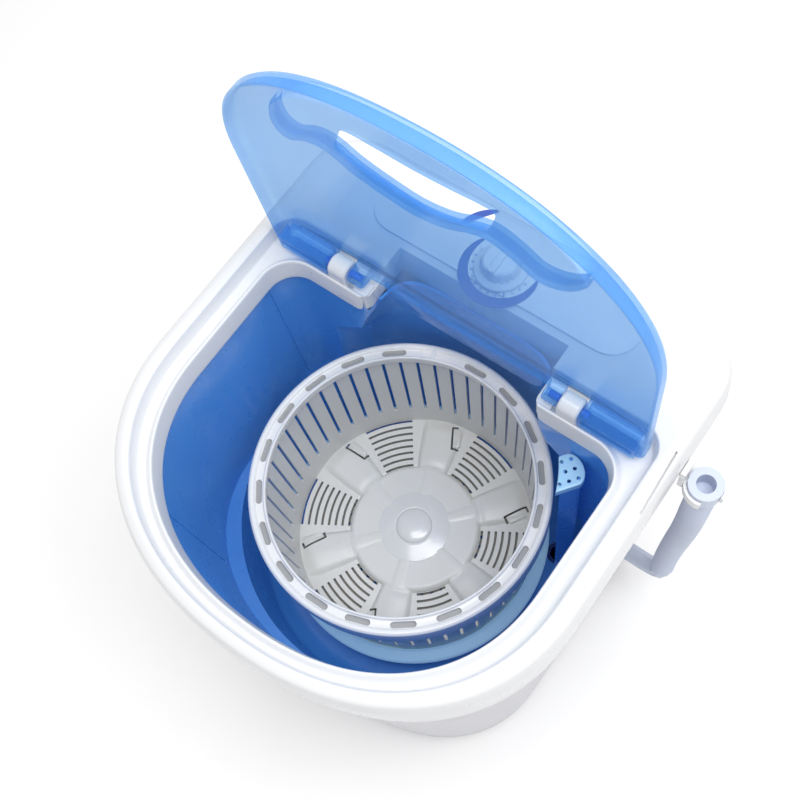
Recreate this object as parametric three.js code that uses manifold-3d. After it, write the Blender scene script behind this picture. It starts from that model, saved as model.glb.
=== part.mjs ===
// Top-loading mini washing machine with a spin basket and a hinged translucent lid.
// Millimetres, +Z up, front towards -Y. The machine stands on its feet at z = 0.
import * as THREE from 'three';
import { mergeVertices } from 'three/addons/utils/BufferGeometryUtils.js';
import Module from 'manifold-3d';

const wasm = await Module();
wasm.setup();

// ---------------------------------------------------------------- driving dimensions
const CREST_Z = 470; // the lip round the opening, above the floor
const WALL = 2.4; // moulded plastic wall
const GAP = 0.3; // between pieces that touch
const NOSE_Y = -28.5; // where the straight sides turn into the bowed front
const NOSE_POWER = 2.2; // squareness of the bowed front
const OPENING = { half: 150.5, nose: 128, back: 78, corner: 26 };
const BODY = { half: 181, nose: 149.5, back: 195, corner: 45 };
const FOOTPRINT = { half: 146, nose: 120, back: 180, corner: 34 };
const GUTTER = { half: 165, nose: 138, back: 104, corner: 20 };

const SKIRT_DEPTH = 62; // top frame's outer skirt, below the crest
const DECK_RISE = 8; // outer rim and rear deck, above the crest
const GUTTER_DEPTH = 6; // lid's gutter, below the crest
const LIP_DEPTH = 20; // white inner wall of the opening, below the crest
const LIP_DRAFT = 3;
const CABINET_TUCK = 12; // how far the cabinet reaches up inside the skirt
const CABINET_BOTTOM = 6;
const BASE_Z = 8;
const BASE_THICK = 3;

const HINGE_Y = 87;
const HINGE_RISE = 8.5; // hinge axis above the crest
const PIN_R = 2.8;
const POST_X = 99; // middle of each hinge post
const POST_WIDTH = 16;
const POST_R = 8.5;
const LID_OPEN_DEG = 87.5;
const LID_GROW = 7.7; // lid edge outside the opening's lip
const LID_TOP = 19; // closed lid's top above the crest
const LID_SKIRT = 15.5;
const LID_WALL = 2.2;
const LID_BACK = 98;
const TONGUE_HALF = 69;
const TONGUE_REACH = 34; // lid tongue behind the hinge axis
const KNUCKLE_WIDTH = 12;
const KNUCKLE_R = 6.5;
const HINGE_END = 1.2; // play between each post and the lid beside it
const COVER_WIDTH = 44; // box over each pin's outer end
const COVER_BACK = 7; // its rear wall behind the hinge axis
const POCKET = { left: -107, right: 107, back: -84, margin: 7, depth: 10, corner: 18 };
const HAND_SLOT = { left: -50, right: 48, front: -131, back: -98, corner: 9 };

const NICHE_HALF = 73; // room behind the opening for the lid's tongue
const NICHE_TOP_Y = 124;
const NICHE_LOW_Y = 121;

const TUB_TOP = 12; // tub wall's top edge below the crest
const TUB_LIP = 0.9; // tub wall's top, outside the opening's outline
const TUB_DRAFT = 5.9; // how far the tub wall leans in on its way down
const TUB_LEDGE = 190; // where the D-shaped wall meets the round sump
const TUB_FLOOR = 275; // tub floor's upper face below the crest
const SUMP = { radius: 146, foot: 14, shoulder: 5, corner: 6 };
const RIM_CLEARANCE = 11; // between the basket rim and the tub wall behind it
const DRAIN_SPOT = [111, 61];
// Overflow pipe in the tub's rear right corner, in plan: middle of its round end, half width,
// how far that end bows out, the way it points, and the circle that its inner side keeps clear of.
const OVERFLOW = { x: 114.7, y: 66.9, half: 12.5, end: 8.3, turn: 53, clear: 122.8 };
const OVERFLOW_CAP = { drop: 50, skirt: 8, thick: 2.2, wall: 2 };
const OVERFLOW_FOOT = { half: 6, height: 13 };
const OVERFLOW_HOLE = { radius: 1.5, start: 1.7, pitch: 7.2, spread: 7.7 };

const BASKET_TOP = 104.6; // rim's top below the crest
const RIM_R = 120;
const RIM_HEIGHT = 11;
const RIM_WIDTH = 14.5;
const RIM_ROUND = 1.2;
const RIM_OVERHANG = 7.4; // rim's outer edge outside the basket's inner wall
const RIM_POCKET = { count: 24, long: 16, wide: 6, depth: 5, offset: 0.4 };
const BASKET_TAPER = 6.6; // basket's inner wall, from rim to floor
const BASKET_FLOOR = 240; // basket floor's upper face below the crest
const BASKET_WALL = 2.2;
const BASKET_CORNER = 6;
const WALL_SLOT = { count: 48, width: 4.2, top: 131, bottom: 208 };
const SECTOR_COUNT = 6;
const VENT = { rows: 7, inset: 7, margin: 7.2, width: 2.6, share: 0.36 };
const HOOK_SLOT = { inset: 14, long: 10, width: 5 };
const DISC_R = 54;
const DISC_RISE = 4;
const CAP_R = 32.5;
const CAP_HEIGHT = 15;

const PULSATOR = { radius: 88, hub: 19, lift: 4, edge: 3, dish: 10, fins: 4, finHalf: 4 };
const SHAFT_R = 6;
const SHAFT_SINK = 5; // shaft's top below the pulsator's top
const BEARING_R = 16;
const BEARING_BORE_CLEARANCE = 0.3;
const BEARING_HEIGHT = 10;
const HOUSING_R = 22;
const HOUSING_FLANGE_R = 42;
const HOUSING_LENGTH = 44;
const PULLEY_R = 60;
const PULLEY_THICK = 13;
const MOTOR_PULLEY_R = 14;
const PULLEY_GAP = 4; // housing to pulley
const PULLEY_GROOVE = 4;
const PULLEY_WINDOW = { count: 4, radius: 11, ring: 34 };
const BRACKET_GAP = 6; // pulley to bracket
const MOTOR_GAP = 5; // bracket to motor
const LEG_SPOTS = [[-112, 20], [-40, 104], [64, 50], [28, -76]];
const LEG_R = 6;
const LEG_PAD_R = 10;
const MOTOR_X = -78;
const MOTOR_Y = 66;
const MOTOR_R = 44;
const MOTOR_HEIGHT = 78;
const MOTOR_SHAFT_R = 4;
const MOTOR_BORE_DEPTH = 30;
const GROMMET = { turns: [0.3, 2.4, 4.5], ring: 34, radius: 6.5, height: 6.2 };
const CAPACITOR = { x: 92, y: -52, radius: 17, height: 62, band: 18, tab: 14 };
const BRACKET_THICK = 3;
const BELT_THICK = 4;
const BELT_WIDTH = 9;

const KNOB_Y = 148;
const KNOB_R = 17;
const KNOB_HEIGHT = 17;
const KNOB_FLANGE = 3;
const KNOB_GRIP_HALF = 3;
const KNOB_SINK = 6; // timer shaft's top below the knob's top
const TIMER_SHAFT_R = 3;
const PANEL = { half: 112, front: 130, back: 184, thick: 1.8, corner: 22 };
const TIMER = { half: 20, depth: 30, width: 38 };

const OUTLET_Y = 127;
const OUTLET_Z = 86;
const PIPE_R = 9.5;
const PIPE_WALL = 2.5;
const PIPE_CLEARANCE = 1.5;
const ELBOW_OUT = 9; // elbow's upright arm, outside the body's side
const ELBOW_RISE = 26;
const HOSE_R = 11;
const CUFF = { bore: 7, grow: 1.6, height: 16 };
const HOSE_END = { out: 18, y: 102, drop: 45 }; // outside the body's side, below the crest
const HOOK = { half: 7, thick: 2.4, drop: 24 }; // hose hook's tab and its slot in the frame
// The hose's centre line, chosen by hand, from the elbow up to the hook.
const HOSE_ROUTE = [
  [190, 127, 112.5],
  [190, 127, 140],
  [191, 125.5, 175],
  [193, 121.5, 220],
  [195.5, 115.5, 270],
  [197.5, 109, 320],
  [198.6, 104, 365],
  [199, 102.2, 400],
  [199, 102, 425],
];

const FOOT_R = 15;
const FOOT_X = 108;
const FOOT_FRONT_Y = -78;
const FOOT_BACK_Y = 140;
const SCREW_LENGTH = 14;
const SCREW_R = 2;
const SCREW_HEAD_R = 4;
const SCREW_CLEARANCE = 0.4;
const BACK_COVER = { half: 95, bottom: 40, top: 300, thick: 1.5, lap: 8 };
const BACK_VENT = { rows: 5, half: 50, start: 60, pitch: 12, height: 4 };
const BASE_VENT = { reach: 3, half: 40, pitch: 14, width: 6 };
const BASE_RIM = 12;
const GLAND = { x: -118, z: 60, radius: 5.6 };
const INLET = { x: -118, z: 372, radius: 9 };
const FITTING_CLEARANCE = 0.4;

const NOSE_STEPS = 20;
const CORNER_STEPS = 4;
const ROUND_STEPS = 48;
const FRONT_Y = NOSE_Y - BODY.nose;
const SHIFT_Y = -(FRONT_Y + BODY.back) / 2; // puts the origin under the middle of the body
const PIN_INNER = POST_X - POST_WIDTH / 2 - KNUCKLE_WIDTH + 2;
const PIN_OUTER = POST_X + POST_WIDTH / 2 + 6;
const RIM_INNER_R = RIM_R - RIM_WIDTH;
const BASKET_TOP_R = RIM_R - RIM_OVERHANG;
const BASKET_FLOOR_R = BASKET_TOP_R - BASKET_TAPER;
const BULGE_R = RIM_R + RIM_CLEARANCE;
const CUT = 20; // how far a cutting tool runs past what it cuts

// ---------------------------------------------------------------- colours and materials
const FINISH = {
  white: { color: 0xf1f2f3, roughness: 0.38, metalness: 0 },
  blue: { color: 0x2f6fc4, roughness: 0.35, metalness: 0 },
  clearBlue: { color: 0x3f8df0, roughness: 0.2, metalness: 0 },
  paleBlue: { color: 0x9cc8e6, roughness: 0.35, metalness: 0 },
  basket: { color: 0xd8dadb, roughness: 0.4, metalness: 0 },
  rubber: { color: 0x2b2c2e, roughness: 0.85, metalness: 0 },
  steel: { color: 0xa9adb1, roughness: 0.35, metalness: 0.9 },
  zinc: { color: 0x8d9296, roughness: 0.5, metalness: 0.8 },
  hose: { color: 0xaab6cc, roughness: 0.55, metalness: 0 },
  black: { color: 0x1d1e20, roughness: 0.6, metalness: 0 },
  navy: { color: 0x1c3f8c, roughness: 0.4, metalness: 0 },
};

const machine = new THREE.Group();

function add(name, geometry, finish, parent = machine) {
  const mesh = new THREE.Mesh(geometry, new THREE.MeshStandardMaterial(FINISH[finish]));
  mesh.name = name;
  parent.add(mesh);
  return mesh;
}

// ---------------------------------------------------------------- solids, joins and cuts
function solid(geometry) {
  let bare = geometry.clone();
  bare.deleteAttribute('normal');
  bare.deleteAttribute('uv');
  bare = mergeVertices(bare, 1e-4);
  const mesh = new wasm.Mesh({
    numProp: 3,
    vertProperties: new Float32Array(bare.attributes.position.array),
    triVerts: new Uint32Array(bare.index.array),
  });
  return new wasm.Manifold(mesh);
}

function geometryOf(body) {
  const mesh = body.getMesh();
  const geometry = new THREE.BufferGeometry();
  geometry.setAttribute('position', new THREE.BufferAttribute(mesh.vertProperties, 3));
  geometry.setIndex(new THREE.BufferAttribute(mesh.triVerts, 1));
  return geometry;
}

function join(...geometries) {
  return geometryOf(geometries.map(solid).reduce((sum, next) => sum.add(next)));
}

function cut(base, ...tools) {
  return geometryOf(tools.map(solid).reduce((rest, tool) => rest.subtract(tool), solid(base)));
}

function common(first, second) {
  return geometryOf(solid(first).intersect(solid(second)));
}

function signedVolume(positions, index) {
  const a = new THREE.Vector3();
  const b = new THREE.Vector3();
  const c = new THREE.Vector3();
  let sum = 0;
  for (let i = 0; i < index.length; i += 3) {
    a.fromArray(positions, index[i] * 3);
    b.fromArray(positions, index[i + 1] * 3);
    c.fromArray(positions, index[i + 2] * 3);
    sum += a.dot(b.cross(c));
  }
  return sum / 6;
}

// A skin over a list of level outlines with equal point counts. A ring closes on itself;
// otherwise a fan closes the first and the last outline.
function loft(levels, ring = false) {
  const count = levels[0].points.length;
  const positions = levels.flatMap(({ points, z }) => points.flatMap(([x, y]) => [x, y, z]));
  const index = [];
  const spans = ring ? levels.length : levels.length - 1;
  for (let level = 0; level < spans; level++) {
    const low = level * count;
    const high = ((level + 1) % levels.length) * count;
    for (let i = 0; i < count; i++) {
      const next = (i + 1) % count;
      index.push(low + i, low + next, high + next, low + i, high + next, high + i);
    }
  }
  if (!ring) {
    for (const level of [0, levels.length - 1]) {
      const { points, z } = levels[level];
      const middle = positions.length / 3;
      const sum = points.reduce(([sx, sy], [x, y]) => [sx + x, sy + y], [0, 0]);
      positions.push(sum[0] / count, sum[1] / count, z);
      for (let i = 0; i < count; i++) {
        const next = (i + 1) % count;
        const start = level * count;
        if (level === 0) index.push(middle, start + next, start + i);
        else index.push(middle, start + i, start + next);
      }
    }
  }
  if (signedVolume(positions, index) < 0) index.reverse();
  const geometry = new THREE.BufferGeometry();
  geometry.setAttribute('position', new THREE.Float32BufferAttribute(positions, 3));
  geometry.setIndex(index);
  return geometry;
}

function box(x0, x1, y0, y1, z0, z1) {
  const geometry = new THREE.BoxGeometry(x1 - x0, y1 - y0, z1 - z0);
  return geometry.translate((x0 + x1) / 2, (y0 + y1) / 2, (z0 + z1) / 2);
}

function turned(profile, steps = ROUND_STEPS) {
  const points = profile.map(([r, z]) => new THREE.Vector2(r, z));
  return new THREE.LatheGeometry(points, steps).rotateX(Math.PI / 2);
}

function uprightRod(radius, z0, z1, steps = 24) {
  return turned([[0, z0], [radius, z0], [radius, z1], [0, z1]], steps);
}

function ringOf(inner, outer, z0, z1, steps = ROUND_STEPS) {
  return turned([[inner, z0], [outer, z0], [outer, z1], [inner, z1], [inner, z0]], steps);
}

function crossRod(radius, x0, x1, y, z, steps = 16) {
  return uprightRod(radius, x0, x1, steps).rotateY(Math.PI / 2).translate(0, y, z);
}

// An outline in the Y-Z plane, given as [y, z] points, carried from x0 to x1.
function sideProfile(points, x0, x1) {
  const shape = new THREE.Shape(points.map(([y, z]) => new THREE.Vector2(y, z)));
  const geometry = new THREE.ExtrudeGeometry(shape, { depth: x1 - x0, bevelEnabled: false });
  return geometry.rotateX(Math.PI / 2).rotateZ(Math.PI / 2).translate(x0, 0, 0);
}

function roundedPlate(x0, x1, y0, y1, corner, z0, z1, steps = 4) {
  const shape = new THREE.Shape();
  shape.moveTo(x0 + corner, y0);
  shape.lineTo(x1 - corner, y0);
  shape.absarc(x1 - corner, y0 + corner, corner, -Math.PI / 2, 0);
  shape.lineTo(x1, y1 - corner);
  shape.absarc(x1 - corner, y1 - corner, corner, 0, Math.PI / 2);
  shape.lineTo(x0 + corner, y1);
  shape.absarc(x0 + corner, y1 - corner, corner, Math.PI / 2, Math.PI);
  shape.lineTo(x0, y0 + corner);
  shape.absarc(x0 + corner, y0 + corner, corner, Math.PI, 1.5 * Math.PI);
  const options = { depth: z1 - z0, bevelEnabled: false, curveSegments: steps };
  return new THREE.ExtrudeGeometry(shape, options).translate(0, 0, z0);
}

// ---------------------------------------------------------------- outlines
const signedPower = (value, power) => Math.sign(value) * Math.abs(value) ** power;

// Straight sides, a bowed front and rounded rear corners, grown outwards by grow.
function dOutline({ half, nose, back, corner }, grow = 0) {
  const points = [];
  const h = half + grow;
  const radius = corner + grow;
  for (const side of [1, -1]) {
    for (let i = 0; i <= CORNER_STEPS; i++) {
      const turn = (i / CORNER_STEPS) * (Math.PI / 2) + (side > 0 ? 0 : Math.PI / 2);
      const x = side * (h - radius) + radius * Math.cos(turn);
      points.push([x, back + grow - radius + radius * Math.sin(turn)]);
    }
  }
  for (let i = 0; i <= NOSE_STEPS; i++) {
    const turn = Math.PI + (i / NOSE_STEPS) * Math.PI;
    const x = h * signedPower(Math.cos(turn), 2 / NOSE_POWER);
    points.push([x, NOSE_Y + (nose + grow) * signedPower(Math.sin(turn), 2 / NOSE_POWER)]);
  }
  return points;
}

// A bow towards the back, from a flat front edge at startY.
function rearBow(half, back, startY, power, grow = 0) {
  const points = [];
  for (let i = 0; i <= NOSE_STEPS; i++) {
    const turn = (i / NOSE_STEPS) * Math.PI;
    const x = (half + grow) * signedPower(Math.cos(turn), 2 / power);
    points.push([x, startY + (back + grow - startY) * signedPower(Math.sin(turn), 2 / power)]);
  }
  return points;
}

const level = (shape, grow, drop) => ({ points: dOutline(shape, grow), z: CREST_Z - drop });

// ---------------------------------------------------------------- cabinet, base and feet
const CABINET_TOP = CREST_Z - SKIRT_DEPTH + CABINET_TUCK;
const CABINET_INSET = 6.5; // cabinet's top inside the body outline

function mixOutline(from, to, share) {
  return from.map(([x, y], i) => [x + (to[i][0] - x) * share, y + (to[i][1] - y) * share]);
}

function cabinetOutline(z, grow = 0) {
  const share = (z - CABINET_BOTTOM) / (CABINET_TOP - CABINET_BOTTOM);
  return mixOutline(dOutline(FOOTPRINT, grow), dOutline(BODY, grow - CABINET_INSET), share);
}

// How far out the cabinet's side or back stands at a height.
const cabinetSide = (z) => Math.max(...cabinetOutline(z).map(([x]) => x));
const cabinetBack = (z) => Math.max(...cabinetOutline(z).map(([, y]) => y));

function cabinetShell() {
  const rings = [CABINET_BOTTOM, CABINET_TOP];
  const outside = rings.map((z) => ({ points: cabinetOutline(z), z }));
  const inside = rings.map((z) => ({ points: cabinetOutline(z, -WALL), z })).reverse();
  const { half, bottom, top, lap } = BACK_COVER;
  const backY = FOOTPRINT.back;
  const window = box(-half + lap, half - lap, backY - CUT, backY + CUT, bottom + lap, top - lap);
  const side = cabinetSide(OUTLET_Z);
  const drain = crossRod(PIPE_R + PIPE_CLEARANCE, side - CUT, side + CUT / 2, OUTLET_Y, OUTLET_Z);
  const rearHole = ({ x, z, radius }) => {
    const bore = radius + FITTING_CLEARANCE;
    return new THREE.CylinderGeometry(bore, bore, 2 * CUT, 16).translate(x, cabinetBack(z), z);
  };
  const holes = screwSpots().map(([x, z]) => backHole(x, z));
  return cut(loft([...outside, ...inside], true), window, drain, rearHole(GLAND), rearHole(INLET), ...holes);
}

function screwSpots() {
  const { half, bottom, top, lap } = BACK_COVER;
  const x = half - lap / 2;
  return [bottom + lap / 2, top - lap / 2].flatMap((z) => [[-x, z], [x, z]]);
}

function backHole(x, z) {
  const bore = SCREW_R + SCREW_CLEARANCE;
  return new THREE.CylinderGeometry(bore, bore, 2 * SCREW_LENGTH, 10).translate(x, cabinetBack(z), z);
}

function backCover() {
  const { half, bottom, top, thick } = BACK_COVER;
  const face = (z, out) => cabinetBack(z) + GAP + out;
  const profile = [[face(bottom, 0), bottom], [face(bottom, thick), bottom]];
  profile.push([face(top, thick), top], [face(top, 0), top]);
  const plate = sideProfile(profile, -half, half);
  const holes = screwSpots().map(([x, z]) => backHole(x, z));
  const vents = [];
  for (let row = 0; row < BACK_VENT.rows; row++) {
    const z = bottom + BACK_VENT.start + row * BACK_VENT.pitch;
    const back = cabinetBack(z);
    vents.push(box(-BACK_VENT.half, BACK_VENT.half, back - CUT, back + CUT, z, z + BACK_VENT.height));
  }
  return cut(plate, ...holes, ...vents);
}

function backScrew(x, z) {
  const { thick } = BACK_COVER;
  const start = cabinetBack(z) + GAP * 2 + thick;
  const profile = [[0, -SCREW_LENGTH], [SCREW_R, -SCREW_LENGTH], [SCREW_R, 0], [SCREW_HEAD_R, 0]];
  const screw = turned([...profile, [SCREW_HEAD_R, 1.4], [2.4, 2.4], [0, 2.4]], 8);
  return screw.rotateX(-Math.PI / 2).translate(x, start + GAP / 2, z);
}

function footSpots() {
  return [
    ['front_left', -FOOT_X, FOOT_FRONT_Y],
    ['front_right', FOOT_X, FOOT_FRONT_Y],
    ['rear_left', -FOOT_X, FOOT_BACK_Y],
    ['rear_right', FOOT_X, FOOT_BACK_Y],
  ];
}

function basePlate() {
  const outline = cabinetOutline(CABINET_BOTTOM, -WALL - GAP - 0.5);
  const top = BASE_Z + BASE_THICK;
  const plate = loft([{ points: outline, z: BASE_Z }, { points: outline, z: top }]);
  const inner = cabinetOutline(CABINET_BOTTOM, -WALL - GAP - 3);
  const rim = [{ points: outline, z: BASE_Z }, { points: outline, z: top + BASE_RIM }];
  rim.push({ points: inner, z: top + BASE_RIM }, { points: inner, z: BASE_Z });
  const holes = footSpots().map(([, x, y]) => {
    return uprightRod(SCREW_R + SCREW_CLEARANCE, 0, 2 * CUT, 12).translate(x, y, 0);
  });
  const vents = [];
  for (let row = -BASE_VENT.reach; row <= BASE_VENT.reach; row++) {
    const y = row * BASE_VENT.pitch;
    vents.push(box(-BASE_VENT.half, BASE_VENT.half, y, y + BASE_VENT.width, 0, CUT));
  }
  return cut(join(plate, loft(rim, true)), ...holes, ...vents);
}

function foot() {
  const top = BASE_Z - GAP;
  const bore = SCREW_R + SCREW_CLEARANCE;
  const sink = SCREW_HEAD_R + 1;
  const profile = [[sink, 0], [FOOT_R - 1.5, 0], [FOOT_R, 1.5], [FOOT_R + 1, top]];
  return turned([...profile, [bore, top], [bore, 4], [sink, 4], [sink, 0]], 16);
}

function footScrew() {
  const under = 4 - GAP;
  const profile = [[0, 1.4], [2.6, 1.4], [SCREW_HEAD_R, 2.2], [SCREW_HEAD_R, under]];
  return turned([...profile, [SCREW_R, under], [SCREW_R, 18], [0, 19]], 8);
}

// ---------------------------------------------------------------- top frame
function frameRing() {
  const levels = [
    level(BODY, -3, SKIRT_DEPTH),
    level(BODY, 0, 18),
    level(BODY, -1.2, 3),
    level(BODY, -4, -DECK_RISE + 2.2),
    level(BODY, -9, -DECK_RISE),
    level(GUTTER, 0, -DECK_RISE),
    level(GUTTER, -2, GUTTER_DEPTH - 1.5),
    level(OPENING, 5, GUTTER_DEPTH),
    level(OPENING, 2, 1.2),
    level(OPENING, 0.6, 0),
    level(OPENING, -0.8, 0.6),
    level(OPENING, -LIP_DRAFT, LIP_DEPTH),
    level(OPENING, -LIP_DRAFT + 2.2, LIP_DEPTH),
    level(OPENING, 1.2, 4),
    level(OPENING, 5, GUTTER_DEPTH + WALL),
    level(GUTTER, 0, GUTTER_DEPTH + WALL - 1),
    level(GUTTER, WALL, -DECK_RISE + WALL),
    level(BODY, -9.5, -DECK_RISE + WALL),
    level(BODY, -5.5, 2),
    level(BODY, -WALL, 18),
    level(BODY, -3 - WALL, SKIRT_DEPTH),
  ];
  return loft(levels, true);
}

function nicheProfile(grow, frontY, shelf) {
  const low = CREST_Z - LIP_DEPTH - (grow > 0 ? 0.2 : 2);
  const top = CREST_Z + DECK_RISE + (grow > 0 ? 0 : 2);
  const profile = [[frontY, low], [NICHE_LOW_Y + grow, low], [NICHE_TOP_Y + grow, top]];
  if (shelf) profile.push([GUTTER.back, top], [GUTTER.back, CREST_Z - 3.5], [frontY, CREST_Z - 3.5]);
  else profile.push([frontY, top]);
  return profile;
}

function hingePost(side) {
  const axisZ = CREST_Z + HINGE_RISE;
  const base = CREST_Z - GUTTER_DEPTH - 1;
  const profile = [[HINGE_Y - POST_R, base], [HINGE_Y + POST_R, base]];
  for (let i = 0; i <= 8; i++) {
    const turn = (i / 8) * Math.PI;
    profile.push([HINGE_Y + POST_R * Math.cos(turn), axisZ + POST_R * Math.sin(turn)]);
  }
  const middle = side * POST_X;
  const block = sideProfile(profile, middle - POST_WIDTH / 2, middle + POST_WIDTH / 2);
  const bore = crossRod(PIN_R + GAP, middle - POST_WIDTH, middle + POST_WIDTH, HINGE_Y, axisZ);
  return cut(block, bore);
}

function hookSlot() {
  const x = BODY.half;
  const z = CREST_Z - HOOK.drop;
  const { y } = HOSE_END;
  const tall = HOOK.thick / 2 + GAP;
  return box(x - 12, x + 12, y - HOOK.half + 1 - GAP, y + HOOK.half - 1 + GAP, z - tall, z + tall);
}

function topFrame() {
  const reach = NICHE_HALF + WALL;
  const lining = sideProfile(nicheProfile(WALL, OPENING.back - WALL, true), -reach, reach);
  const room = sideProfile(nicheProfile(0, OPENING.back - CUT, false), -NICHE_HALF, NICHE_HALF);
  const body = cut(join(frameRing(), lining), room);
  const knobHole = uprightRod(TIMER_SHAFT_R + 1, CREST_Z, CREST_Z + 20, 16).translate(0, KNOB_Y, 0);
  return cut(join(body, hingePost(-1), hingePost(1)), knobHole, hookSlot());
}

// ---------------------------------------------------------------- wash tub
function tubSpace(grow) {
  const wall = [
    level(OPENING, TUB_LIP + grow, TUB_TOP),
    level(OPENING, TUB_LIP - TUB_DRAFT + grow, TUB_LEDGE),
  ];
  const open = grow > 0 ? 0 : 1;
  wall[0].z += open;
  if (grow > 0) wall[1].z -= grow;
  const sumpFloor = CREST_Z - TUB_FLOOR - grow;
  const sumpTop = CREST_Z - TUB_LEDGE + 8 - (grow > 0 ? 8 : 0);
  const sump = turned([
    [0, sumpFloor],
    [SUMP.radius - SUMP.foot + grow, sumpFloor],
    [SUMP.radius - SUMP.shoulder + grow, sumpFloor + SUMP.corner],
    [SUMP.radius + grow, sumpTop],
    [0, sumpTop],
  ]);
  const startY = 40;
  const chord = Math.sqrt(BULGE_R ** 2 - startY ** 2);
  const bow = (half, back, power, drop) => {
    return { points: rearBow(half, back, startY, power, grow), z: CREST_Z - drop };
  };
  const bulge = loft([
    bow(chord, BULGE_R, NOSE_POWER, TUB_LEDGE + 20),
    bow(chord, BULGE_R, NOSE_POWER, 92),
    bow(88, BULGE_R - 5, 3, 60),
    bow(NICHE_HALF - 1.5, NICHE_LOW_Y - 2, 6, LIP_DEPTH + 0.5 - open),
  ]);
  return join(loft(wall), sump, bulge);
}

// Plan of the overflow pipe: an arc beside the basket's rim, straight sides and a bowed outer end.
function overflowPlan(grow) {
  const { half, end, clear } = OVERFLOW;
  const [alongX, alongY] = overflowAxis();
  const reach = OVERFLOW.x * alongX + OVERFLOW.y * alongY;
  const aside = OVERFLOW.y * alongX - OVERFLOW.x * alongY;
  const points = [];
  for (let i = 0; i <= 6; i++) {
    const across = (half + grow) * (1 - i / 3);
    const along = Math.sqrt((clear - grow) ** 2 - (across + aside) ** 2) - reach;
    points.push(overflowPoint(along, across));
  }
  for (let i = 0; i <= 12; i++) {
    const turn = (i / 12 - 0.5) * Math.PI;
    points.push(overflowPoint((end + grow) * Math.cos(turn), (half + grow) * Math.sin(turn)));
  }
  return points;
}

function overflowAxis() {
  const turn = THREE.MathUtils.degToRad(OVERFLOW.turn);
  return [Math.cos(turn), Math.sin(turn)];
}

function overflowPoint(along, across) {
  const [alongX, alongY] = overflowAxis();
  return [OVERFLOW.x + along * alongX - across * alongY, OVERFLOW.y + along * alongY + across * alongX];
}

function overflowBlock(grow, low, high) {
  const points = overflowPlan(grow);
  return loft([{ points, z: low }, { points, z: high }]);
}

function washTub() {
  const shell = cut(tubSpace(WALL), tubSpace(0));
  const top = CREST_Z - LIP_DEPTH - 0.2 - GAP;
  const lining = NICHE_HALF + WALL + GAP;
  const niche = box(-lining, lining, OPENING.back - 4, NICHE_TOP_Y + CUT, top, CREST_Z);
  const floor = CREST_Z - TUB_FLOOR;
  const shaftHole = uprightRod(HOUSING_R + GAP, floor - CUT, floor + CUT);
  const [x, y] = DRAIN_SPOT;
  const drainHole = uprightRod(PIPE_R + 2 * GAP, floor - CUT, floor + 3).translate(x, y, 0);
  const pipeGrow = -OVERFLOW_CAP.wall - GAP;
  const pipeTop = CREST_Z - OVERFLOW_CAP.drop - OVERFLOW_CAP.thick - GAP;
  const pipe = overflowBlock(pipeGrow, floor - WALL / 2, pipeTop);
  const bore = overflowBlock(pipeGrow - WALL, floor, pipeTop + CUT);
  const [footX, footY] = overflowPoint(-OVERFLOW.half, 0);
  const { half, height } = OVERFLOW_FOOT;
  const foot = box(footX - half, footX + half, footY - half, footY + half, floor, floor + height);
  return cut(join(cut(shell, niche), pipe), bore, foot, shaftHole, drainHole);
}

// Perforated cap over the overflow pipe's open top.
function overflowCover() {
  const { drop, skirt, thick, wall } = OVERFLOW_CAP;
  const top = CREST_Z - drop;
  const cap = overflowBlock(0, top - skirt, top);
  const room = overflowBlock(-wall, top - skirt - CUT, top - thick);
  const { radius, start, pitch, spread } = OVERFLOW_HOLE;
  const holes = [];
  for (const row of [0, 1, 2]) {
    for (const column of [-1, 0, 1]) {
      if (row === 2 && column === 1) continue;
      const [x, y] = overflowPoint(start - row * pitch, column * spread);
      holes.push(uprightRod(radius, top - 2 * thick, top + CUT, 12).translate(x, y, 0));
    }
  }
  return cut(cap, room, ...holes);
}

// ---------------------------------------------------------------- basket and rotor
function basketBody() {
  const top = CREST_Z - BASKET_TOP - RIM_HEIGHT - GAP;
  const floor = CREST_Z - BASKET_FLOOR;
  const shell = turned([
    [0, floor - BASKET_WALL],
    [BASKET_FLOOR_R - BASKET_CORNER + 1, floor - BASKET_WALL],
    [BASKET_FLOOR_R + BASKET_WALL, floor + BASKET_CORNER - 1],
    [BASKET_TOP_R + BASKET_WALL, top],
    [BASKET_TOP_R, top],
    [BASKET_FLOOR_R, floor + BASKET_CORNER],
    [BASKET_FLOOR_R - BASKET_CORNER, floor],
    [DISC_R + DISC_RISE, floor],
    [DISC_R, floor + DISC_RISE],
    [0, floor + DISC_RISE],
  ]);
  const tools = [];
  const inner = BASKET_FLOOR_R - BASKET_WALL;
  const outer = BASKET_TOP_R + 4 * BASKET_WALL;
  const { count, width, top: slotTop, bottom } = WALL_SLOT;
  for (let i = 0; i < count; i++) {
    const turn = ((i + 0.5) / count) * 2 * Math.PI;
    const slot = box(inner, outer, -width / 2, width / 2, CREST_Z - bottom, CREST_Z - slotTop);
    tools.push(slot.rotateZ(turn));
  }
  for (let i = 0; i < SECTOR_COUNT; i++) tools.push(...sectorCuts((i / SECTOR_COUNT) * 2 * Math.PI));
  return cut(shell, ...tools);
}

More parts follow.
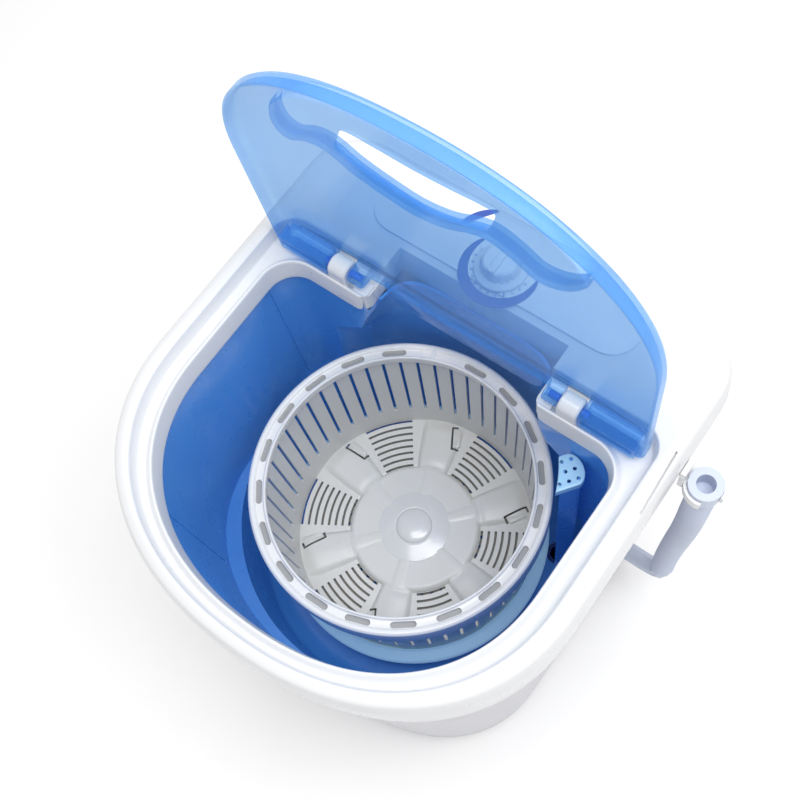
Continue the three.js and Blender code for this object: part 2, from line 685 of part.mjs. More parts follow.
// The short slots of one floor sector, and the hooked slot in the arm beside it.
function sectorCuts(turn) {
  const low = CREST_Z - BASKET_FLOOR - 8;
  const high = CREST_Z - BASKET_FLOOR + 8;
  const { rows, inset, margin, width, share } = VENT;
  const pitch = (BASKET_FLOOR_R - DISC_R - inset - margin) / rows;
  const cuts = [];
  for (let row = 0; row < rows; row++) {
    const r = DISC_R + inset + row * pitch;
    const long = r * share;
    cuts.push(box(r, r + width, -long / 2, long / 2, low, high).rotateZ(turn));
  }
  const end = BASKET_FLOOR_R - HOOK_SLOT.inset;
  const hook = box(end - HOOK_SLOT.long, end, -HOOK_SLOT.width / 2, HOOK_SLOT.width / 2, low, high);
  cuts.push(hook.rotateZ(turn + Math.PI / SECTOR_COUNT));
  return cuts;
}

function basketRim() {
  const top = CREST_Z - BASKET_TOP;
  const low = top - RIM_HEIGHT;
  const ring = turned([
    [RIM_INNER_R + 1, low],
    [RIM_R - 1, low],
    [RIM_R, low + 2],
    [RIM_R, top - RIM_ROUND],
    [RIM_R - RIM_ROUND, top],
    [RIM_INNER_R + RIM_ROUND, top],
    [RIM_INNER_R, top - RIM_ROUND],
    [RIM_INNER_R + 1, low],
  ]);
  const { count, long, wide, depth, offset } = RIM_POCKET;
  const middle = (RIM_R + RIM_INNER_R) / 2 + offset;
  const pockets = [];
  for (let i = 0; i < count; i++) {
    const pocket = box(middle - wide / 2, middle + wide / 2, -long / 2, long / 2, top - depth, top + depth);
    pockets.push(pocket.rotateZ((i / count) * 2 * Math.PI));
  }
  return cut(ring, ...pockets);
}

function basketCap() {
  const base = CREST_Z - BASKET_FLOOR + DISC_RISE + GAP;
  const profile = [[0, base], [CAP_R, base]];
  for (let i = 1; i <= 5; i++) {
    const turn = (i / 5) * (Math.PI / 2);
    profile.push([CAP_R * Math.cos(turn), base + CAP_HEIGHT * Math.sin(turn)]);
  }
  return turned(profile, 28);
}

const PULSATOR_TOP = CREST_Z - BASKET_FLOOR - BASKET_WALL - GAP;

function pulsator() {
  const { radius, hub, lift, edge, dish: dishRise, fins: finCount, finHalf } = PULSATOR;
  const floor = CREST_Z - TUB_FLOOR + lift;
  const dish = turned([
    [0, floor],
    [radius - edge, floor],
    [radius, floor + edge],
    [radius - edge, floor + 2 * edge],
    [hub + 11, floor + dishRise],
    [hub, PULSATOR_TOP],
    [0, PULSATOR_TOP],
  ], 36);
  const outline = [[hub + 1, floor + 2], [radius - 8, floor + 2]];
  outline.push([radius - 12, floor + dishRise - 1], [hub + 1, PULSATOR_TOP - 3]);
  const fins = [];
  for (let i = 0; i < finCount; i++) {
    const turn = (i / finCount) * 2 * Math.PI;
    fins.push(sideProfile(outline, -finHalf, finHalf).rotateZ(turn));
  }
  const socket = uprightRod(SHAFT_R + GAP, floor - 5, PULSATOR_TOP - SHAFT_SINK, 24);
  return cut(join(dish, ...fins), socket);
}

const HOUSING_TOP = CREST_Z - TUB_FLOOR + 2;
const HOUSING_LOW = CREST_Z - TUB_FLOOR - WALL - HOUSING_LENGTH;
const PULLEY_TOP = HOUSING_LOW - PULLEY_GAP;
const PULLEY_LOW = PULLEY_TOP - PULLEY_THICK;
const BRACKET_TOP = PULLEY_LOW - BRACKET_GAP;
const MOTOR_TOP = BRACKET_TOP - BRACKET_THICK - MOTOR_GAP;

function driveShaft() {
  const top = PULSATOR_TOP - SHAFT_SINK - GAP;
  const low = PULLEY_LOW - 8;
  return turned([[0, low], [SHAFT_R - 1, low], [SHAFT_R, low + 1], [SHAFT_R, top], [0, top]], 24);
}

// Flanged hub under the tub floor, bored for a bearing at each end and for the seal on top.
function bearingHousing() {
  const flangeTop = CREST_Z - TUB_FLOOR - WALL - GAP;
  const seat = BEARING_R + GAP;
  const neck = BEARING_R - 4;
  const depth = BEARING_HEIGHT + 2 * GAP;
  return turned([
    [seat, HOUSING_LOW],
    [HOUSING_R, HOUSING_LOW],
    [HOUSING_R, flangeTop - 4],
    [HOUSING_FLANGE_R, flangeTop - 4],
    [HOUSING_FLANGE_R, flangeTop],
    [HOUSING_R, flangeTop],
    [HOUSING_R, HOUSING_TOP],
    [seat, HOUSING_TOP],
    [seat, HOUSING_TOP - 6 - depth],
    [neck, HOUSING_TOP - 6 - depth],
    [neck, HOUSING_LOW + depth],
    [seat, HOUSING_LOW + depth],
    [seat, HOUSING_LOW],
  ], 24);
}

function bearing(z) {
  return ringOf(SHAFT_R + BEARING_BORE_CLEARANCE, BEARING_R, z, z + BEARING_HEIGHT, 24);
}

function shaftSeal() {
  const low = HOUSING_TOP - 6 + GAP;
  return turned([
    [SHAFT_R + GAP, low],
    [BEARING_R, low],
    [BEARING_R, low + 4.5],
    [SHAFT_R + 4, low + 4.5],
    [SHAFT_R + GAP, low + 3],
    [SHAFT_R + GAP, low],
  ], 24);
}

function pulley(radius, bore, z0, z1, steps) {
  const root = radius - PULLEY_GROOVE;
  const middle = (z0 + z1) / 2;
  const half = BELT_WIDTH / 2 + 0.6;
  return turned([
    [bore, z0],
    [radius, z0],
    [radius, middle - half],
    [root, middle - half],
    [root, middle + half],
    [radius, middle + half],
    [radius, z1],
    [bore, z1],
    [bore, z0],
  ], steps);
}

function drivenPulley() {
  const wheel = pulley(PULLEY_R, SHAFT_R + GAP, PULLEY_LOW, PULLEY_TOP - 1, 32);
  const windows = [];
  const { count, radius, ring } = PULLEY_WINDOW;
  for (let i = 0; i < count; i++) {
    const turn = (i / count) * 2 * Math.PI;
    const window = uprightRod(radius, PULLEY_LOW - 5, PULLEY_TOP + 5, 12);
    windows.push(window.translate(ring * Math.cos(turn), ring * Math.sin(turn), 0));
  }
  return cut(wheel, ...windows);
}

// The belt runs in both grooves: two arcs and the two straight lines that touch them.
function driveBelt() {
  const span = Math.hypot(MOTOR_X, MOTOR_Y);
  const heading = Math.atan2(MOTOR_Y, MOTOR_X);
  const middle = (PULLEY_LOW + PULLEY_TOP - 1) / 2;
  const loop = (offset) => {
    const big = PULLEY_R - PULLEY_GROOVE + GAP + offset;
    const small = MOTOR_PULLEY_R - PULLEY_GROOVE + GAP + offset;
    const wrap = Math.acos((big - small) / span);
    const points = [];
    const steps = 20;
    for (let i = 0; i <= steps; i++) {
      const turn = heading + wrap + (i / steps) * (2 * Math.PI - 2 * wrap);
      points.push([big * Math.cos(turn), big * Math.sin(turn)]);
    }
    for (let i = 0; i <= steps; i++) {
      const turn = heading - wrap + (i / steps) * 2 * wrap;
      points.push([MOTOR_X + small * Math.cos(turn), MOTOR_Y + small * Math.sin(turn)]);
    }
    return points;
  };
  const outer = loop(BELT_THICK);
  const inner = loop(0);
  const low = middle - BELT_WIDTH / 2;
  const high = middle + BELT_WIDTH / 2;
  const levels = [[outer, low], [outer, high], [inner, high], [inner, low]];
  return loft(levels.map(([points, z]) => ({ points, z })), true);
}

// ---------------------------------------------------------------- motor
function motorBracket() {
  const low = BRACKET_TOP - BRACKET_THICK;
  const shape = new THREE.Shape(LEG_SPOTS.map(([x, y]) => new THREE.Vector2(x * 1.06, y * 1.08)).reverse());
  const options = { depth: BRACKET_THICK, bevelEnabled: false };
  const plate = new THREE.ExtrudeGeometry(shape, options).translate(0, 0, low);
  const top = CREST_Z - TUB_FLOOR - WALL - GAP;
  const legs = LEG_SPOTS.map(([x, y]) => uprightRod(LEG_R, low, top, 12).translate(x, y, 0));
  const pads = LEG_SPOTS.map(([x, y]) => uprightRod(LEG_PAD_R, low, BRACKET_TOP, 16).translate(x, y, 0));
  const shaftHole = uprightRod(SHAFT_R + 3, low - 5, BRACKET_TOP + 5, 20);
  const motorHole = uprightRod(11, low - 5, BRACKET_TOP + 5, 20).translate(MOTOR_X, MOTOR_Y, 0);
  return cut(join(plate, ...legs, ...pads), shaftHole, motorHole);
}

function motorBody() {
  const low = MOTOR_TOP - MOTOR_HEIGHT;
  const bore = MOTOR_SHAFT_R + GAP;
  const can = turned([
    [0, low],
    [26, low],
    [30, low + 8],
    [MOTOR_R - 3, low + 12],
    [MOTOR_R, low + 16],
    [MOTOR_R, MOTOR_TOP - 14],
    [MOTOR_R - 4, MOTOR_TOP - 9],
    [22, MOTOR_TOP - 4],
    [12, MOTOR_TOP],
    [bore, MOTOR_TOP],
    [bore, MOTOR_TOP - MOTOR_BORE_DEPTH],
    [0, MOTOR_TOP - MOTOR_BORE_DEPTH],
  ], 28);
  return can.translate(MOTOR_X, MOTOR_Y, 0);
}

function motorShaft() {
  const low = MOTOR_TOP - MOTOR_BORE_DEPTH + GAP;
  return uprightRod(MOTOR_SHAFT_R, low, PULLEY_TOP, 20).translate(MOTOR_X, MOTOR_Y, 0);
}

function motorPulley() {
  const wheel = pulley(MOTOR_PULLEY_R, MOTOR_SHAFT_R + GAP, PULLEY_LOW, PULLEY_TOP - 1, 20);
  return wheel.translate(MOTOR_X, MOTOR_Y, 0);
}

function motorGrommet(turn) {
  const x = MOTOR_X + GROMMET.ring * Math.cos(turn);
  const y = MOTOR_Y + GROMMET.ring * Math.sin(turn);
  const top = BRACKET_TOP - BRACKET_THICK - GAP;
  return uprightRod(GROMMET.radius, top - GROMMET.height, top, 16).translate(x, y, 0);
}

function capacitor() {
  const { x, y, radius, height } = CAPACITOR;
  const low = BASE_Z + BASE_THICK + GAP;
  const top = low + height;
  const can = [[0, low], [radius - 1, low], [radius, low + 1], [radius, top - 2], [radius - 2, top]];
  return turned([...can, [6, top], [5, top + 6], [0, top + 6]], 20).translate(x, y, 0);
}

function capacitorClip() {
  const low = BASE_Z + BASE_THICK + GAP;
  const { x, y, radius, band, tab } = CAPACITOR;
  const hoop = ringOf(radius + GAP, radius + 2.5, low, low + band, 20);
  const ear = box(radius + 1.5, radius + 1.5 + tab, -tab / 2, tab / 2, low, low + 2);
  return join(hoop, ear).translate(x, y, 0);
}

// ---------------------------------------------------------------- lid
const lidGroup = new THREE.Group();
const HINGE = new THREE.Vector3(0, HINGE_Y, CREST_Z + HINGE_RISE);
lidGroup.position.copy(HINGE);
lidGroup.rotation.x = THREE.MathUtils.degToRad(-LID_OPEN_DEG);
machine.add(lidGroup);

// The lid is drawn shut, then its pieces hang from the hinge axis and swing open.
const addToLid = (name, geometry, finish) => {
  add(name, geometry.translate(-HINGE.x, -HINGE.y, -HINGE.z), finish, lidGroup);
};

const LID = {
  half: OPENING.half + LID_GROW,
  nose: OPENING.nose + LID_GROW,
  back: LID_BACK,
  corner: 12,
};

// A finger pocket pressed into the lid: its front follows the lid's edge.
function lidTray() {
  const under = CREST_Z + LID_TOP - LID_WALL;
  const low = under - POCKET.depth;
  const outer = trayBlock(0, low, under + 1);
  const room = trayBlock(LID_WALL, low + LID_WALL, under + 9);
  const { left, right, front, back, corner } = HAND_SLOT;
  const through = roundedPlate(left, right, front, back, corner, low - 5, low + 9);
  return { outer, room, through };
}

function trayBlock(inset, low, high) {
  const { left, right, back, margin, corner } = POCKET;
  const edge = dOutline(LID, -margin - inset);
  const front = NOSE_Y - LID.nose;
  const plate = roundedPlate(left + inset, right - inset, front, back - inset, corner - inset, low, high);
  return common(plate, loft([{ points: edge, z: low - 1 }, { points: edge, z: high + 1 }]));
}

function lidKnuckle(side) {
  const axisZ = CREST_Z + HINGE_RISE;
  const radius = KNUCKLE_R;
  const under = CREST_Z + LID_TOP - 1;
  const profile = [[HINGE_Y + radius, under], [HINGE_Y - radius, under]];
  for (let i = 0; i <= 8; i++) {
    const turn = Math.PI + (i / 8) * Math.PI;
    profile.push([HINGE_Y + radius * Math.cos(turn), axisZ + radius * Math.sin(turn)]);
  }
  const inner = POST_X - POST_WIDTH / 2 - HINGE_END;
  const edges = [side * inner, side * (inner - KNUCKLE_WIDTH)].sort((a, b) => a - b);
  return sideProfile(profile, ...edges);
}

function pinCover(side, pocket) {
  const start = POST_X + POST_WIDTH / 2 + HINGE_END;
  const inset = pocket ? LID_WALL : 0;
  const xs = [side * (start + inset), side * (start + COVER_WIDTH - inset)].sort((a, b) => a - b);
  const low = CREST_Z + 0.6;
  const top = CREST_Z + LID_TOP - (pocket ? LID_WALL : 1);
  return box(...xs, HINGE_Y - 9 + inset, HINGE_Y + COVER_BACK - inset, pocket ? low - 5 : low, top);
}

function lidPanel() {
  const lidLevel = (grow, rise) => ({ points: dOutline(LID, grow), z: CREST_Z + rise });
  const low = LID_TOP - LID_SKIRT;
  const shell = loft([
    lidLevel(-3, LID_TOP),
    lidLevel(0, LID_TOP - 2.4),
    lidLevel(0, low),
    lidLevel(-LID_WALL, low),
    lidLevel(-LID_WALL, LID_TOP - LID_WALL - 1.4),
    lidLevel(-LID_WALL - 2, LID_TOP - LID_WALL),
  ]);
  const tongueBack = HINGE_Y + TONGUE_REACH;
  const under = CREST_Z + LID_TOP - LID_WALL;
  const tongue = roundedPlate(-TONGUE_HALF, TONGUE_HALF, HINGE_Y, tongueBack, 10, under, CREST_Z + LID_TOP);
  const innerPost = POST_X - POST_WIDTH / 2 - HINGE_END;
  const outerPost = POST_X + POST_WIDTH / 2 + HINGE_END;
  const notches = [-1, 1].map((side) => {
    const xs = [side * innerPost, side * outerPost].sort((a, b) => a - b);
    return box(...xs, HINGE_Y - POST_R - 2.5, LID_BACK + 5, CREST_Z - 5, CREST_Z + 30);
  });
  const rearSkirt = box(-innerPost, innerPost, LID_BACK - 6, LID_BACK + 2, CREST_Z, under);
  const rearEdge = [-1, 1].map((side) => {
    const xs = [side * TONGUE_HALF, side * innerPost].sort((a, b) => a - b);
    return box(...xs, HINGE_Y + 7.5, LID_BACK + 5, CREST_Z - 5, CREST_Z + 30);
  });
  const tray = lidTray();
  const opened = cut(cut(shell, rearSkirt), tray.room);
  const joined = join(opened, tongue, cut(tray.outer, tray.room));
  const knuckles = [-1, 1].flatMap((side) => [lidKnuckle(side), pinCover(side, false)]);
  const axisZ = CREST_Z + HINGE_RISE;
  const bores = [-1, 1].map((side) => {
    const xs = [side * (PIN_INNER - HINGE_END), side * (PIN_OUTER - 1)].sort((a, b) => a - b);
    return crossRod(PIN_R + GAP, ...xs, HINGE_Y, axisZ);
  });
  const hollows = [-1, 1].map((side) => pinCover(side, true));
  const full = join(joined, ...knuckles);
  return cut(full, ...notches, ...rearEdge, ...hollows, ...bores, tray.through);
}

function hingePin(side) {
  const xs = [side * PIN_INNER, side * PIN_OUTER].sort((a, b) => a - b);
  return crossRod(PIN_R, ...xs, HINGE_Y, CREST_Z + HINGE_RISE);
}

// ---------------------------------------------------------------- control panel and timer
const DECK_Z = CREST_Z + DECK_RISE;

function controlPanel() {
  const { half, front, back, thick, corner } = PANEL;
  const low = DECK_Z + GAP;
  const plate = roundedPlate(-half, half, front, back, corner, low, low + thick);
  return cut(plate, uprightRod(TIMER_SHAFT_R + 1, low - 5, low + 10, 16).translate(0, KNOB_Y, 0));
}

function timerBody() {
  const top = DECK_Z - WALL - GAP;
  const { half, depth, width } = TIMER;
  const y0 = KNOB_Y - width / 2 + 3;
  const block = roundedPlate(-half, half, y0, y0 + width, 4, top - depth, top, 2);
  return cut(block, uprightRod(TIMER_SHAFT_R + GAP, top - 8, top + 5, 16).translate(0, KNOB_Y, 0));
}

function timerShaft() {
  const low = DECK_Z - WALL - GAP - 8 + GAP;
  const top = DECK_Z + PANEL.thick + KNOB_HEIGHT - KNOB_SINK;
  return uprightRod(TIMER_SHAFT_R, low, top, 16).translate(0, KNOB_Y, 0);
}

function timerKnob() {
  const low = DECK_Z + GAP * 3 + PANEL.thick;
  const top = low + KNOB_HEIGHT;
  const flange = KNOB_R + KNOB_FLANGE;
  const skirt = [[0, low], [flange, low], [flange, low + 2.5], [KNOB_R - 2, low + 5]];
  const disc = turned([...skirt, [KNOB_R - 4, top - 4], [KNOB_R - 6, top - 3], [0, top - 3]], 32);
  const reach = KNOB_R - KNOB_FLANGE;
  const grip = box(-KNOB_GRIP_HALF, KNOB_GRIP_HALF, -reach, reach, low + 3, top);
  const shaftTop = DECK_Z + PANEL.thick + KNOB_HEIGHT - KNOB_SINK;
  const bore = uprightRod(TIMER_SHAFT_R + GAP, low - 2, shaftTop + GAP, 16);
  return cut(join(disc, grip), bore).translate(0, KNOB_Y, 0);
}

// ---------------------------------------------------------------- water and power fittings
function waterInlet() {
  const face = cabinetBack(INLET.z);
  const { x, z, radius } = INLET;
  const bore = radius - 3;
  const tube = turned([
    [bore, -22],
    [radius, -22],
    [radius, GAP],
    [radius + 4, GAP],
    [radius + 4, 2.6],
    [radius - 1, 2.6],
    [radius - 1, 7],
    [bore, 7],
    [bore, -22],
  ], 16);
  return tube.rotateX(-Math.PI / 2).translate(x, face + FITTING_CLEARANCE, z);
}

function cordGland() {
  const face = cabinetBack(GLAND.z);
  const { x, z, radius } = GLAND;
  const bore = radius - 2;
  const sleeve = turned([
    [bore, -8],
    [radius, -8],
    [radius, GAP],
    [radius + 3.4, GAP],
    [radius + 3.4, 3],
    [radius + 1, 4.5],
    [radius - 0.6, 12],
    [bore, 12],
    [bore, -8],
  ], 12);
  return sleeve.rotateX(-Math.PI / 2).translate(x, face + FITTING_CLEARANCE, z);
}

// ---------------------------------------------------------------- drain
function tubeAlong(points, outer, inner, sides, steps) {
  const path = new THREE.CatmullRomCurve3(points.map((p) => new THREE.Vector3(...p)));
  const ring = (radius) => {
    const shape = new THREE.Shape();
    for (let i = 0; i < sides; i++) {
      const turn = (i / sides) * 2 * Math.PI;
      const corner = [radius * Math.cos(turn), radius * Math.sin(turn)];
      if (i === 0) shape.moveTo(...corner);
      else shape.lineTo(...corner);
    }
    return shape;
  };
  const section = ring(outer);
  if (inner > 0) section.holes.push(ring(inner));
  return new THREE.ExtrudeGeometry(section, { steps, extrudePath: path, bevelEnabled: false });
}

const SIDE_AT_OUTLET = cabinetSide(OUTLET_Z);
const JOINT_X = SIDE_AT_OUTLET - 14; // where the pipe meets the elbow, inside the wall

// Inside the cabinet: down from the tub floor, then out to the side wall.
function drainPipe() {
  const [x, y] = DRAIN_SPOT;
  const top = CREST_Z - TUB_FLOOR - WALL + 1;
  const route = [[x, y, top], [x, y, OUTLET_Z + 40], [x + 2, y + 14, OUTLET_Z + 14]];
  route.push([x + 8, OUTLET_Y - 9, OUTLET_Z + 2], [JOINT_X - 9, OUTLET_Y, OUTLET_Z]);
  route.push([JOINT_X - 5, OUTLET_Y, OUTLET_Z], [JOINT_X, OUTLET_Y, OUTLET_Z]);
  return tubeAlong(route, PIPE_R, PIPE_R - PIPE_WALL, 8, 14);
}

function drainElbow() {
  const start = JOINT_X + 1;
  const turnX = BODY.half + ELBOW_OUT;
  const route = [[start, OUTLET_Y, OUTLET_Z], [start + 16, OUTLET_Y, OUTLET_Z]];
  route.push([turnX - 14, OUTLET_Y, OUTLET_Z + 0.5], [turnX - 3.5, OUTLET_Y, OUTLET_Z + 4]);
  route.push([turnX, OUTLET_Y, OUTLET_Z + 14], [turnX, OUTLET_Y, OUTLET_Z + ELBOW_RISE]);
  return tubeAlong(route, PIPE_R, PIPE_R - PIPE_WALL, 10, 14);
}

function drainHose() {
  return tubeAlong(HOSE_ROUTE, HOSE_R, 0, 12, 14);
}

const CUFF_X = BODY.half + HOSE_END.out;

function hoseCuff() {
  const low = CREST_Z - HOSE_END.drop + GAP;
  const cuff = ringOf(CUFF.bore, HOSE_R + CUFF.grow, low, low + CUFF.height, 20);
  return cuff.translate(CUFF_X, HOSE_END.y, 0);
}

// Spring clip that holds the hose end upright, hooked into a slot in the frame's side.
function hoseHook() {
  const inner = HOSE_R + CUFF.grow + GAP;
  const low = CREST_Z - HOSE_END.drop + 3;
  const ring = ringOf(inner, inner + 2.2, low, low + 9, 24);
  const mouth = box(4, 30, -30, -2, low - 5, low + CUT);
  const plateX = BODY.half + GAP - CUFF_X;
  const stem = box(plateX, -inner - 0.8, -HOOK.half, HOOK.half, low, CREST_Z - HOOK.drop + 6);
  const tab = HOOK.half - 1;
  const slotZ = CREST_Z - HOOK.drop;
  const tongue = box(plateX - 6, plateX + 1, -tab, tab, slotZ - HOOK.thick / 2, slotZ + HOOK.thick / 2);
  return join(cut(ring, mouth), stem, tongue).translate(CUFF_X, HOSE_END.y, 0);
}

// ---------------------------------------------------------------- assembly
function buildCabinet() {
  add('cabinet_shell', cabinetShell(), 'white');
  add('base_plate', basePlate(), 'zinc');
  for (const [place, x, y] of footSpots()) {
    add(`foot_${place}`, foot().translate(x, y, 0), 'rubber');
    add(`foot_screw_${place}`, footScrew().translate(x, y, 0), 'steel');
  }
  add('back_cover', backCover(), 'white');
  screwSpots().forEach(([x, z], i) => add(`back_screw_${i + 1}`, backScrew(x, z), 'steel'));
  add('top_frame', topFrame(), 'white');
}

function buildTub() {
  add('wash_tub', washTub(), 'blue');
  add('overflow_cover', overflowCover(), 'paleBlue');
}

function buildRotor() {
  add('basket', basketBody(), 'basket');
  add('basket_rim', basketRim(), 'basket');
  add('basket_cap', basketCap(), 'basket');
  add('pulsator', pulsator(), 'blue');
  add('drive_shaft', driveShaft(), 'steel');
  add('bearing_housing', bearingHousing(), 'zinc');
  add('upper_bearing', bearing(HOUSING_TOP - 6 - BEARING_HEIGHT - GAP), 'steel');
  add('lower_bearing', bearing(HOUSING_LOW + GAP), 'steel');
  add('shaft_seal', shaftSeal(), 'rubber');
  add('driven_pulley', drivenPulley(), 'zinc');
}

function buildDrive() {
  add('drive_belt', driveBelt(), 'black');
  add('motor_bracket', motorBracket(), 'zinc');
  add('motor', motorBody(), 'zinc');
  add('motor_shaft', motorShaft(), 'steel');
  add('motor_pulley', motorPulley(), 'zinc');
  GROMMET.turns.forEach((turn, i) => add(`motor_grommet_${i + 1}`, motorGrommet(turn), 'rubber'));
  add('capacitor', capacitor(), 'white');
  add('capacitor_clip', capacitorClip(), 'steel');
}

function buildLid() {
  addToLid('lid', lidPanel(), 'clearBlue');
  addToLid('hinge_pin_left', hingePin(-1), 'navy');
  addToLid('hinge_pin_right', hingePin(1), 'navy');
}

function buildControls() {
  add('control_panel', controlPanel(), 'white');
  add('timer_body', timerBody(), 'black');
  add('timer_shaft', timerShaft(), 'steel');
  add('timer_knob', timerKnob(), 'white');
}

function buildFittings() {
  add('water_inlet', waterInlet(), 'white');
  add('cord_gland', cordGland(), 'black');
  add('drain_pipe', drainPipe(), 'rubber');
  add('drain_elbow', drainElbow(), 'hose');
  add('drain_hose', drainHose(), 'hose');
  add('hose_cuff', hoseCuff(), 'hose');
  add('hose_hook', hoseHook(), 'white');
}

buildCabinet();
buildTub();
buildRotor();
buildDrive();
buildLid();
buildControls();
buildFittings();

const group = new THREE.Group();
group.add(machine);
machine.position.y = SHIFT_Y;
export default group;
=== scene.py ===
import math

import bmesh
import bpy
import numpy as np
from mathutils import Matrix, Vector


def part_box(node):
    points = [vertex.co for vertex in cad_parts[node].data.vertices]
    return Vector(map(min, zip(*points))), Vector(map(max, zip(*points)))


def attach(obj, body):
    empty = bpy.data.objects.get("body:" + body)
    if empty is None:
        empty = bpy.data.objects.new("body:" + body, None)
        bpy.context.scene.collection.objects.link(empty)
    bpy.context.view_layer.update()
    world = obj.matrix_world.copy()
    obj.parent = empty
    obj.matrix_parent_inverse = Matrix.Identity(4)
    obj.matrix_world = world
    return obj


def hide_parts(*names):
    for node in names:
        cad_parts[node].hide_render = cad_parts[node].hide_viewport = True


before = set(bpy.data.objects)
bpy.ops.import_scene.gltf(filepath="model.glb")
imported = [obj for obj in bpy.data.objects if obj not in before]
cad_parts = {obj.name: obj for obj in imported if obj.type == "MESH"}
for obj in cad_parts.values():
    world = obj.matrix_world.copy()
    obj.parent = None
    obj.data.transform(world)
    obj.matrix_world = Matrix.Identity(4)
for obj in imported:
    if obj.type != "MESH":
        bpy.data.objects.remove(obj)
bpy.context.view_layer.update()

MM = 0.001
RIM_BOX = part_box("basket_rim")
RIM_DROP = 104.6
AXIS_Y = (RIM_BOX[0].y + RIM_BOX[1].y) / 2 / MM
CREST = RIM_BOX[1].z / MM + RIM_DROP
TO_ROW = Matrix.Translation((0, AXIS_Y * MM, CREST * MM)) @ Matrix.Scale(MM, 4)

# ------------------------------------------------------------ camera
CAMERA_PLACE = (0.2353, -0.1740, 1.1837)
CAMERA_TURN = (22.501, 6.355, 36.120)
CAMERA_LENS = 49.94

camera = bpy.data.objects.new("camera", bpy.data.cameras.new("camera"))
bpy.context.scene.collection.objects.link(camera)
camera.location = CAMERA_PLACE
camera.rotation_euler = [math.radians(a) for a in CAMERA_TURN]
camera.data.lens = CAMERA_LENS
bpy.context.scene.camera = camera

# ------------------------------------------------------------ sizes, in millimetres
NOSE_Y = -28.5
NOSE_POWER = 2.2
OPENING = (150.5, 128, 78, 26)  # half width, nose depth, back, rear corner radius
BODY = (181, 149.5, 195, 45)
FOOTPRINT = (146, 120, 180, 34)
GUTTER = (165, 138, 104, 20)
WALL = 2.4
DECK_RISE = 8
LIP_DEPTH = 20
LIP_DRAFT = 3
SKIRT_DEPTH = 62
HINGE_Y = 87
HINGE_Z = 8.5
PIN_R = 2.8
PIN_GAP = 0.3
PIN_ENDS = (81, 113)
PIN_BORE_ENDS = (77, 112)
POST_X = 99
POST_R = 8.5
POST_HALF = 8
POST_GAP = 1.2
LID_OPEN = 87.5
LID_TOP = 19
LID_WALL = 2.2
LID_OVERLAP = 7.7
LID = (OPENING[0] + LID_OVERLAP, OPENING[1] + LID_OVERLAP, 98, 12)
NICHE_HALF = 73
NICHE_CORNER_R = 10.5
TONGUE_HALF = 69
TUB_TOP = 12
TUB_LIP = 0.9
TUB_DRAFT = 5.9
TUB_LEDGE = 190
TUB_FLOOR = 275
SUMP_R = 146
BULGE_R = 131
HUB_HOLE_R = 22.3
DRAIN_HOLE_R = 10.1
DRAIN_SPOT = (111, 61)
RIM_R = 120
RIM_INNER_R = 105.5
BASKET_TOP_R = 112.6
BASKET_FLOOR_R = 106
BASKET_WALL = 2.2
BASE_R = 118.4
BASKET_FLOOR = -240
DISC_R = 54
CAP_R = 32.5
DOME_R = 15.8
SLOT_COUNT = 48
KNOB_Y = 148
KNOB_HOLE_R = 4
CORNER_STEPS = 12
NOSE_STEPS = 110
ROUND_STEPS = 160


# ------------------------------------------------------------ mesh helpers
def outline(shape, grow=0.0):
    """Straight sides, a bowed front and rounded rear corners, grown outwards by grow."""
    half, nose, back, corner = shape
    half, radius = half + grow, corner + grow
    points = []
    for side in (1, -1):
        for i in range(CORNER_STEPS + 1):
            turn = i / CORNER_STEPS * math.pi / 2 + (0 if side > 0 else math.pi / 2)
            x = side * (half - radius) + radius * math.cos(turn)
            points.append((x, back + grow - radius + radius * math.sin(turn)))
    turns = np.linspace(math.pi, 2 * math.pi, NOSE_STEPS + 1)
    power = 2 / NOSE_POWER
    xs = half * np.sign(np.cos(turns)) * np.abs(np.cos(turns)) ** power
    ys = NOSE_Y - (nose + grow) * np.abs(np.sin(turns)) ** power
    points.extend(zip(xs, ys))
    return np.array(points)


def level(flat, z):
    return np.column_stack([flat, np.full(len(flat), float(z))])


def soften(levels, radius, steps=3, ring=False):
    """Rounds every corner of the profile that a list of levels makes."""
    levels = np.asarray(levels, float)
    out = []
    last = len(levels) - 1
    for k, here in enumerate(levels):
        if not ring and k in (0, last):
            out.append(here)
            continue
        ends = []
        for other in (levels[k - 1], levels[(k + 1) % (last + 1)]):
            reach = np.linalg.norm(other - here, axis=1, keepdims=True)
            share = np.minimum(radius / np.maximum(reach, 1e-9), 0.45)
            ends.append(here + (other - here) * share)
        for t in np.linspace(0, 1, steps + 1):
            out.append((1 - t) ** 2 * ends[0] + 2 * t * (1 - t) * here + t ** 2 * ends[1])
    return np.array(out)


def skin(levels, ring=False):
    """Quads between levels; a ring closes on itself, otherwise the two ends are capped."""
    levels = np.asarray(levels, float)
    spans, count = len(levels), levels.shape[1]
    faces = []
    for a in range(spans if ring else spans - 1):
        b = (a + 1) % spans
        for i in range(count):
            j = (i + 1) % count
            faces.append((a * count + i, a * count + j, b * count + j, b * count + i))
    if not ring:
        faces.append(tuple(reversed(range(count))))
        faces.append(tuple(range((spans - 1) * count, spans * count)))
    return levels.reshape(-1, 3), faces


def circle(radius, steps=ROUND_STEPS):
    turns = np.arange(steps) / steps * 2 * math.pi
    return np.column_stack([np.cos(turns), np.sin(turns)]) * max(radius, 0.02)


def turned(profile, soft=0.0, steps=ROUND_STEPS, ring=False):
    levels = [level(circle(r, steps), z) for r, z in profile]
    return skin(soften(levels, soft, ring=ring) if soft else levels, ring)


